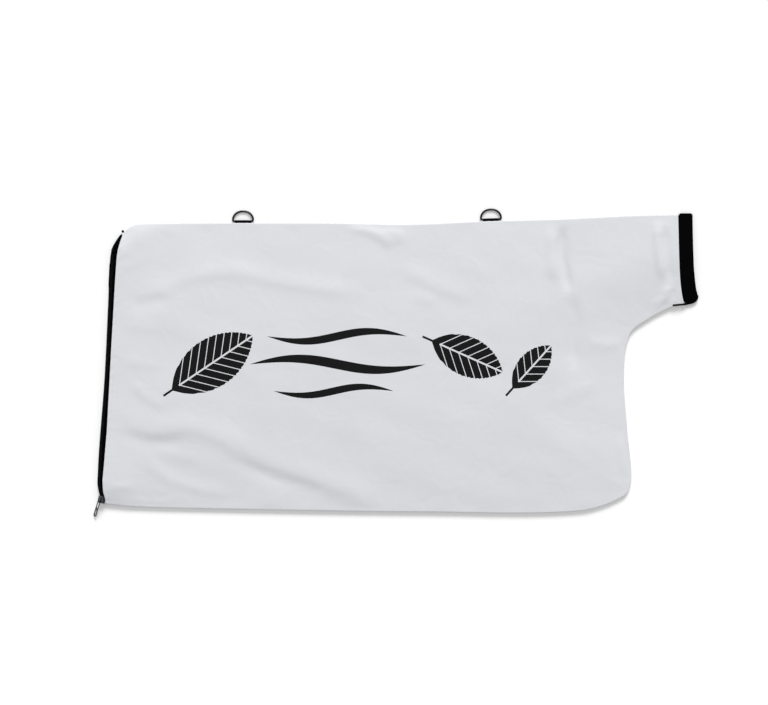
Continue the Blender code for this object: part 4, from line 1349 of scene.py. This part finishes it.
@dataclass
class CoilZip:
    """The zip: two woven tapes, two meshing nylon coils, sewing, stops, slider and pull.

    The front tape narrows by its taper towards the head; the back one is fuller below its own narrowing.
    """

    # How the back tape turns down: share of its curl outwards, share of its drop
    TURN_DOWN = ((0.8, 0.18), (1.0, 0.38), (0.8, 0.62), (0.3, 0.85), (-2.0, 1.0))
    # Both rows of sewing: distance from the chain's middle, height over the tape
    SEWING = ((0.00195, 0.00262), (0.00385, 0.00045))
    # Bar tacks: X, Y, turn in degrees and number of stitches
    TACKS = ((-0.3683, 0.2002, 38.0, 8), (-0.3921, -0.2035, -12.0, 6))
    STATIONS = 240
    MIDDLE = 100
    SEWING_POINTS = 300
    LEAN_STEP = 0.001

    shape: BagShape
    tape: float = 0.0006
    tape_gap: float = 0.0024
    coil_width: float = 0.0060
    coil_rise: float = 0.0022
    wire: float = 0.00034
    pitch: float = 0.00150
    face: float = math.radians(45.0)
    cover: float = 0.0071
    taper_run: float = 0.024
    fuller: float = 0.15
    foot_share: float = 0.32
    foot_run: float = 0.0115
    hidden: float = 0.010
    past_foot: float = 0.0060
    past_head: float = 0.0008
    under_gap: float = 0.0014
    head_sink: float = 0.0020
    coil_overlap: float = 0.00045
    coil_gap: float = 0.00012
    coil_start: float = 0.0008
    coil_end: float = 0.0056
    coil_steps: int = 12
    thread: float = 0.00040
    stitch_pitch: float = 0.0030
    stitch: float = 0.0026
    sewing_start: float = 0.001
    weave_share: float = 0.75
    taper_share: float = 0.80
    taper_power: float = 1.25
    hem_clear: float = 0.0002
    fuller_start: float = -0.080
    fuller_run: float = 0.035
    back_taper_share: float = 0.70
    back_taper_start: float = -0.0213
    back_taper_run: float = 0.044
    tape_ridges: tuple[float, float] = (0.0024, 0.0038)
    least_hidden: float = 0.0012
    hidden_run: float = 0.022
    folded_end: float = 0.0020
    folded_end_place: tuple[float, float, float] = (-0.3667, 0.2036, 0.0070)
    folded_end_flat: float = 0.5
    folded_end_pinch: float = 0.10
    tack_step: float = 0.00045
    tack_height: float = 0.0068
    tack_slant: float = 82.0
    tack_thread: float = 0.00042
    merge_distance: float = 0.00002
    flat_angle: float = math.radians(1.0)
    edge_angle: float = math.radians(35.0)

    def axes(self, y: Array) -> tuple[Array, Array, Array]:
        """Finds the chain's own directions.

        Args:
            y: Places along the zip.

        Returns:
            Middle points, unit vectors towards the front tape, unit vectors out of the face.
        """
        x = self.shape.chain_x(y)
        past = np.maximum((y - self.shape.head_y) / self.shape.head_rise, 0.0)
        middle = np.stack([x, y, self.shape.chain_height - self.head_sink * past], axis=1)
        ahead, behind = self.shape.chain_x(y + self.LEAN_STEP), self.shape.chain_x(y - self.LEAN_STEP)
        lean = (ahead - behind) / (2 * self.LEAN_STEP)
        run = np.stack([lean, np.ones_like(lean), np.zeros_like(lean)], axis=1)
        run /= np.linalg.norm(run, axis=1, keepdims=True)
        out = np.stack([-run[:, 1] * math.sin(self.face), run[:, 0] * math.sin(self.face),
                        np.full(len(y), math.cos(self.face))], axis=1)
        return middle, np.cross(run, out), out

    def stations(self) -> Array:
        """Y of the tapes' cross sections."""
        top = self.shape.head_y + self.shape.head_rise
        return np.linspace(self.shape.foot[1] - self.past_foot, top - self.past_head, self.STATIONS)

    def tape_points(self, side: float) -> Array:
        """Lays one tape's outer face, from the chain to the edge under the hem.

        Args:
            side: 1 for the front tape, -1 for the back one.

        Returns:
            Points by station, column and axis.
        """
        y = self.stations()
        middle, across, out = self.axes(y)
        before = y - self.shape.head_y
        foot = self.foot_share + (1.0 - self.foot_share) * smooth((y - self.shape.foot[1]) / self.foot_run)
        cloth = ClothPanel(self.shape, "", side, (), columns=4, rows=4)
        hem_share = np.interp(y, self.shape.hem.points[:, 1], self.shape.hem.lengths / self.shape.hem.total)
        if side > 0:
            taper = np.maximum((before + self.taper_run) / (self.shape.head_rise + self.taper_run), 0.0)
            hem_x = self.shape.hem.at(hem_share)[:, 0]
            room = (hem_x - middle[:, 0]) / math.cos(self.face) - self.hem_clear
            own = (1.0 - self.taper_share * taper ** self.taper_power) * foot
            narrow = np.minimum(own, room / self.cover)[:, None]
        else:
            fuller = self.fuller * smooth((before - self.fuller_start) / self.fuller_run)
            taper = smooth((before - self.back_taper_start) / self.back_taper_run)
            narrow = ((1.0 + fuller - (self.back_taper_share + fuller) * taper) * foot)[:, None]
        columns = []
        for reach in (self.tape_gap / 2, *self.tape_ridges, self.cover):
            columns.append(middle + across * side * reach * narrow + out * self.tape / 2)
        fold = columns[-1]
        low = y - (self.shape.foot[1] - self.past_foot)
        high = self.shape.head_y + self.shape.head_rise - y
        hidden = smooth(np.minimum(low, high) / self.hidden_run)
        depth = self.least_hidden + (self.hidden - self.least_hidden) * hidden
        under = []
        for share in (0.0, 0.5, 1.0):
            flat = self.shape.on_bag(hem_share, depth * share / self.shape.span)
            height = cloth.height(flat) - side * self.under_gap
            under.append(np.concatenate([flat, height[:, None]], axis=1))
        if side < 0:
            # The back tape turns down round the zip's outer edge to the back cloth
            drop = np.maximum(fold[:, 2] - under[0][:, 2], 0.0)
            curl = self.tape * np.minimum(drop / (4 * self.tape), 1.0)
            for back, share in self.TURN_DOWN:
                spot = fold.copy()
                spot[:, 0] -= curl * back
                spot[:, 2] = fold[:, 2] - drop * share
                columns.append(spot)
        return np.stack(columns + under, axis=1)

    def make_tape(self, name: str, side: float) -> bpy.types.Object:
        """Makes one tape as a thin woven sheet.

        Args:
            name: The object's name.
            side: 1 for the front tape, -1 for the back one.

        Returns:
            The tape.
        """
        points = self.tape_points(side)
        run, width = lengths_along(points[:, 1]), lengths_along(points[self.MIDDLE])
        surface = np.stack(np.broadcast_arrays(run[:, None], width[None, :]), axis=2)
        return thickened(laid_grid(name, points, surface=surface), self.tape * self.weave_share, side)

    def make_coil(self, name: str, side: float) -> bpy.types.Object:
        """Winds one half of the chain: a flattened helix whose heads mesh with the other half.

        Args:
            name: The object's name.
            side: 1 for the front half, -1 for the back one.

        Returns:
            The coil.
        """
        start, end = self.shape.foot[1] - self.coil_start, self.shape.head_y - self.coil_end
        turns = int((end - start) / self.pitch)
        phase = np.arange(turns * self.coil_steps + 1) / self.coil_steps
        y = start + (phase + (0.5 if side < 0 else 0.0)) * self.pitch
        angle = 2 * math.pi * phase
        reach = self.coil_width / 2
        wide = (reach + self.coil_overlap - self.wire * 2) / 2
        offset = (reach - self.coil_overlap) / 2 + wide * np.cos(angle)
        lift = self.tape / 2 + self.wire + self.coil_gap + (self.coil_rise / 2 - self.wire) * (1 + np.sin(angle))
        middle, across, out = self.axes(y)
        points = middle + across * (side * offset)[:, None] + out * lift[:, None]
        return tube(name, points.tolist(), self.wire, fineness=1)

    def coil_sewing(self) -> bpy.types.Object:
        """Lays the double rows of black thread that tie each coil to its tape.

        Returns:
            All the stitches.
        """
        y = np.linspace(self.shape.foot[1] - self.sewing_start, self.shape.head_y, self.SEWING_POINTS)
        middle, across, out = self.axes(y)
        places = []
        for side in (-1.0, 1.0):
            for reach, rise in self.SEWING:
                places += stitch_row(middle + across * side * reach + out * rise, self.stitch_pitch)
        return threads("zip_sewing", places, self.stitch, self.thread)

    def head_end(self) -> bpy.types.Object:
        """Makes the tape's folded end, a small dark dome of cloth that stands out at the upper corner.

        Returns:
            The folded end.
        """
        bm = bmesh.new()
        bmesh.ops.create_uvsphere(bm, u_segments=20, v_segments=12, radius=self.folded_end)
        for vert in bm.verts:
            vert.co.z *= self.folded_end_flat
            vert.co.x *= 1.0 + self.folded_end_pinch * math.sin(3.0 * math.atan2(vert.co.y, vert.co.x))
        bmesh.ops.translate(bm, verts=bm.verts, vec=self.folded_end_place)
        obj = object_of(bm, "zip_tape_folded_end")
        obj.data.shade_smooth()
        return obj

    def bar_tacks(self) -> bpy.types.Object:
        """Lays close pale stitches across the hem's ends, above the chain's head and beside its foot.

        Returns:
            All the stitches.
        """
        places = []
        slant = Matrix.Rotation(math.radians(self.tack_slant), 4, "Z")
        for x, y, turn, count in self.TACKS:
            spin = Matrix.Rotation(math.radians(turn), 4, "Z")
            for k in range(count):
                step = Vector(((k - count / 2) * self.tack_step, 0.0, 0.0))
                at = Vector((x, y, self.tack_height)) + spin @ step
                places.append(Matrix.Translation(at) @ spin @ slant)
        return threads("zip_bar_tacks", places, self.stitch, self.tack_thread)

    def softened(self, node: str, name: str, width: float) -> bpy.types.Object:
        """Takes a cast piece from its solid and rounds every edge slightly, as casting leaves it.

        Args:
            node: The CAD node.
            name: The new object's name.
            width: The rounding's width.

        Returns:
            The piece.
        """
        bm = bmesh.new()
        bm.from_mesh(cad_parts[node].data)
        bmesh.ops.remove_doubles(bm, verts=bm.verts, dist=self.merge_distance)
        bmesh.ops.dissolve_limit(bm, angle_limit=self.flat_angle, verts=bm.verts, edges=bm.edges)
        edges = [edge for edge in bm.edges if edge.is_manifold and edge.calc_face_angle(0.0) > self.edge_angle]
        bmesh.ops.bevel(bm, geom=edges, offset=width, offset_type="OFFSET", affect="EDGES", segments=2,
                        profile=0.5, material=-1, clamp_overlap=True)
        obj = object_of(bm, name)
        shade(obj, 50.0)
        return obj


# Rings


@dataclass
class RingOnLoop:
    """A D-ring and the folded tape that holds it in the upper seam."""

    CORNER_POINTS = 12
    BOW_POINTS = 60
    STEM_POINTS = 6
    WRAP_POINTS = 40
    TAPE_ROWS = 14

    shape: BagShape
    label: str
    x: float
    wire: float = 0.0030
    width: float = 0.0340
    corner: float = 0.0030
    squareness: float = 2.25
    loop_width: float = 0.025
    loop_tape: float = 0.0004
    play: float = 0.00012
    bar_out: float = 0.00225
    stem: float = 0.0085
    stem_share: float = 0.62
    ground_gap: float = 0.0001

    def __post_init__(self) -> None:
        """Finds the bar's place on the seam."""
        upper = self.shape.upper.points
        half = self.width / 2
        low, edge, high = np.interp((self.x - half, self.x, self.x + half), upper[:, 0], upper[:, 1])
        self.bar = (Matrix.Translation((self.x, edge, self.shape.seam_height))
                    @ Matrix.Rotation(math.atan2(high - low, 2 * half), 4, "Z")
                    @ Matrix.Translation((0.0, self.bar_out, 0.0)))

    def ring(self) -> bpy.types.Object:
        """Bends the wire of the ring, lying with its bow on the ground.

        Returns:
            The ring.
        """
        radius = (self.width - self.wire) / 2
        turn = math.asin(self.corner / (radius - self.corner))
        reach = (radius - self.corner) * math.cos(turn)
        points = []
        for angle in np.linspace(-math.pi / 2, turn, self.CORNER_POINTS):
            points.append((reach + self.corner * math.cos(angle), self.corner + self.corner * math.sin(angle)))
        for angle in np.linspace(turn, math.pi - turn, self.BOW_POINTS)[1:-1]:
            wide, tall = abs(math.cos(angle)), math.sin(angle)
            fuller = radius / (wide ** self.squareness + tall ** self.squareness) ** (1.0 / self.squareness)
            points.append((fuller * math.cos(angle), fuller * tall))
        points += [(-x, y) for x, y in reversed(points[:self.CORNER_POINTS])]
        tilt = -math.asin((self.shape.seam_height - self.wire / 2 - self.ground_gap) / radius)
        turned = self.bar @ Matrix.Rotation(tilt, 4, "X")
        return tube("ring_" + self.label, [tuple(turned @ Vector((x, y, 0.0))) for x, y in points],
                    self.wire / 2, closed=True, fineness=6)

    def loop(self) -> bpy.types.Object:
        """Folds the tape round the ring's bar, with both ends in the seam.

        Returns:
            The tape.
        """
        middle = self.wire / 2 + self.play + self.loop_tape / 2
        flat = self.loop_tape * self.stem_share
        start = math.pi - math.asin(flat / middle)
        count = self.STEM_POINTS
        around = np.linspace(start, -start, self.WRAP_POINTS)
        profile = [(-middle - self.stem * (1 - k / count), flat) for k in range(count)]
        profile += [(middle * math.cos(angle), middle * math.sin(angle)) for angle in around]
        profile += [(-middle - self.stem * k / count, -flat) for k in range(1, count + 1)]
        widths = np.linspace(-self.loop_width / 2, self.loop_width / 2, self.TAPE_ROWS)
        points = np.array([[tuple(self.bar @ Vector((w, y, z))) for y, z in profile] for w in widths])
        surface = np.stack(np.broadcast_arrays(lengths_along(points[0])[None, :], widths[:, None]), axis=2)
        return thickened(laid_grid("ring_tape_" + self.label, points, surface=surface), self.loop_tape, 0.0)


# Studio


@dataclass
class Studio:
    """A plain white ground, a broad soft lamp beyond the bag's upper side and a camera straight above."""

    middle: tuple[float, float] = (0.0255, 0.02175)
    field: float = 1.152
    height: float = 3.0
    sensor: float = 36.0
    ground: str = "F6F6F6"
    sun: float = 2.56
    sun_softness: float = math.radians(26.0)
    sun_height: float = math.radians(36.0)
    sun_bearing: float = math.radians(7.0)
    ambient: float = 0.52
    glow: float = 0.11
    ground_size: float = 6.0
    ground_drop: float = 0.0004
    subject_height: float = 0.010
    lamp_distance: float = 2.0
    clip: tuple[float, float] = (0.05, 50.0)

    def floor(self) -> None:
        """Lays the ground; for the camera and in reflections it has a little light of its own."""
        bm = bmesh.new()
        bmesh.ops.create_grid(bm, x_segments=1, y_segments=1, size=self.ground_size)
        floor = object_of(bm, "ground")
        floor.location.z = -self.ground_drop
        material, shader, add = new_material("white_ground")
        paths = add("LightPath").node.outputs
        indirect = add("Math.MAXIMUM", paths["Is Glossy Ray"], paths["Is Transmission Ray"])
        seen = add("Math.MAXIMUM", paths["Is Camera Ray"], indirect)
        feed(shader, {"Base Color": linear(self.ground), "Roughness": 0.9, "Specular IOR Level": 0.0,
                      "Emission Color": (1.0, 1.0, 1.0, 1.0),
                      "Emission Strength": add("Math.MULTIPLY", seen, self.glow)})
        floor.data.materials.append(material)

    def lights(self) -> None:
        """One broad soft light from beyond the bag's upper side and an even sky."""
        lamp = bpy.data.lights.new("soft_light", "SUN")
        lamp.energy = self.sun
        lamp.angle = self.sun_softness
        obj = bpy.data.objects.new("soft_light", lamp)
        away = Vector((math.sin(self.sun_bearing), math.cos(self.sun_bearing), math.tan(self.sun_height)))
        obj.location = away * self.lamp_distance
        obj.rotation_euler = (-away).to_track_quat("-Z", "Y").to_euler()
        bpy.context.scene.collection.objects.link(obj)
        world = bpy.data.worlds.new("sky")
        world.use_nodes = True
        camera_ray = add_node(world.node_tree, "LightPath", output="Is Camera Ray")
        strength = add_node(world.node_tree, "Mix", camera_ray, inputs={2: self.ambient, 3: 1.0})
        feed(world.node_tree.nodes["Background"], {"Color": (1.0, 1.0, 1.0, 1.0), "Strength": strength})
        bpy.context.scene.world = world

    def camera(self) -> None:
        """Looks straight down, framed so that the picture's width spans the field."""
        data = bpy.data.cameras.new("camera")
        data.sensor_width = self.sensor
        data.lens = self.sensor * self.height / self.field
        data.clip_start, data.clip_end = self.clip
        camera = bpy.data.objects.new("camera", data)
        camera.location = (*self.middle, self.height + self.subject_height)
        bpy.context.scene.collection.objects.link(camera)
        bpy.context.scene.camera = camera

    def build(self) -> None:
        """Sets the whole studio up."""
        self.floor()
        self.lights()
        self.camera()
        bpy.context.scene.view_settings.view_transform = "Standard"


def main() -> None:
    """Builds every piece in order."""
    logging.basicConfig(level=logging.INFO, format="%(message)s")
    shape = BagShape()
    cloth = WovenPolyester()
    printed, plain = cloth.material(GardenPrint()), cloth.material()
    thread = DrawnNylon("sewing_thread_pale", "E2E3E6", roughness=0.55).material()
    dark_thread = DrawnNylon("sewing_thread_black", "0E0E10", roughness=0.55, gloss=0.04).material()
    front = ClothPanel(shape, "front_cloth", 1.0, FRONT_FOLDS, columns=232, rows=112)
    back = ClothPanel(shape, "back_cloth", -1.0, BACK_FOLDS, columns=150, rows=74)
    front_obj = dress(front.build(), printed, "bag", "cloth", "front_panel")
    back_obj = dress(back.build(), plain, "bag", "cloth", "back_panel")
    front_thread = dress(front.stitches(), thread, "bag", "cloth")
    back_thread = dress(back.stitches(), thread, "bag", "cloth")
    elastic = NarrowTape("ribbed_elastic_black", Weave.RIBBED, rib=0.0021, colour="060607").material()
    band = NeckBand(shape)
    band_obj = dress(band.build(), elastic, "bag", "elastic", "neck_band")
    joint = dress(band.joint(), elastic, "bag", "elastic")
    tape = NarrowTape("zip_tape_black", Weave.HERRINGBONE, rib=0.0011, colour="050506").material()
    coil = DrawnNylon("nylon_coil_black", "0C0C0E", roughness=0.40, gloss=0.04).material()
    zipper = CoilZip(shape)
    for label, side in (("front", 1.0), ("back", -1.0)):
        name = "zip_tape_" + label
        dress(zipper.make_tape(name + "_woven", side), tape, "bag", "zip_tape", name)
        dress(zipper.make_coil(f"zip_coil_{label}_wound", side), coil, "bag", "coil", "zip_coil_" + label)
    sewing = dress(zipper.coil_sewing(), dark_thread, "bag", "zip_tape")
    dress(zipper.head_end(), dark_thread, "bag", "zip_tape")
    dress(zipper.bar_tacks(), thread, "bag", "cloth")
    # The plated zinc is drawn dark grey: painted dark reflection, standing in for dark surroundings that the bright
    # plating would mirror
    zinc = PlatedMetal("die_cast_zinc_nickel_plated_painted_dark_reflection", "54555A", roughness=0.24).material()
    for node, body, width in (("zip_slider", "slider", 0.00016), ("zip_pull", "pull", 0.00028),
                              ("zip_top_stop_front", "bag", 0.00010), ("zip_top_stop_back", "bag", 0.00010)):
        dress(zipper.softened(node, node + "_cast", width), zinc, body, "zinc", node)
    dress(zipper.softened("zip_bottom_stop", "zip_bottom_stop_moulded", 0.00010), coil, "bag", "coil",
          "zip_bottom_stop")
    # The rings' nickel is drawn almost black: painted dark reflection, standing in for dark surroundings that the
    # bright plating would mirror; the sun still gives real highlights
    nickel = PlatedMetal("steel_wire_nickel_plated_painted_dark_reflection", "2A2B2E", roughness=0.20).material()
    webbing = NarrowTape("narrow_webbing_black", Weave.HERRINGBONE, rib=0.0013, colour="0E0E10").material()
    for label, x in (("left", -0.1865), ("right", 0.1865)):
        held = RingOnLoop(shape, label, x)
        dress(held.ring(), nickel, "ring_" + label, "nickel", "d_ring_" + label)
        dress(held.loop(), webbing, "bag", "webbing", "ring_loop_" + label)
    Studio().build()


if __name__ == "__main__":
    main()
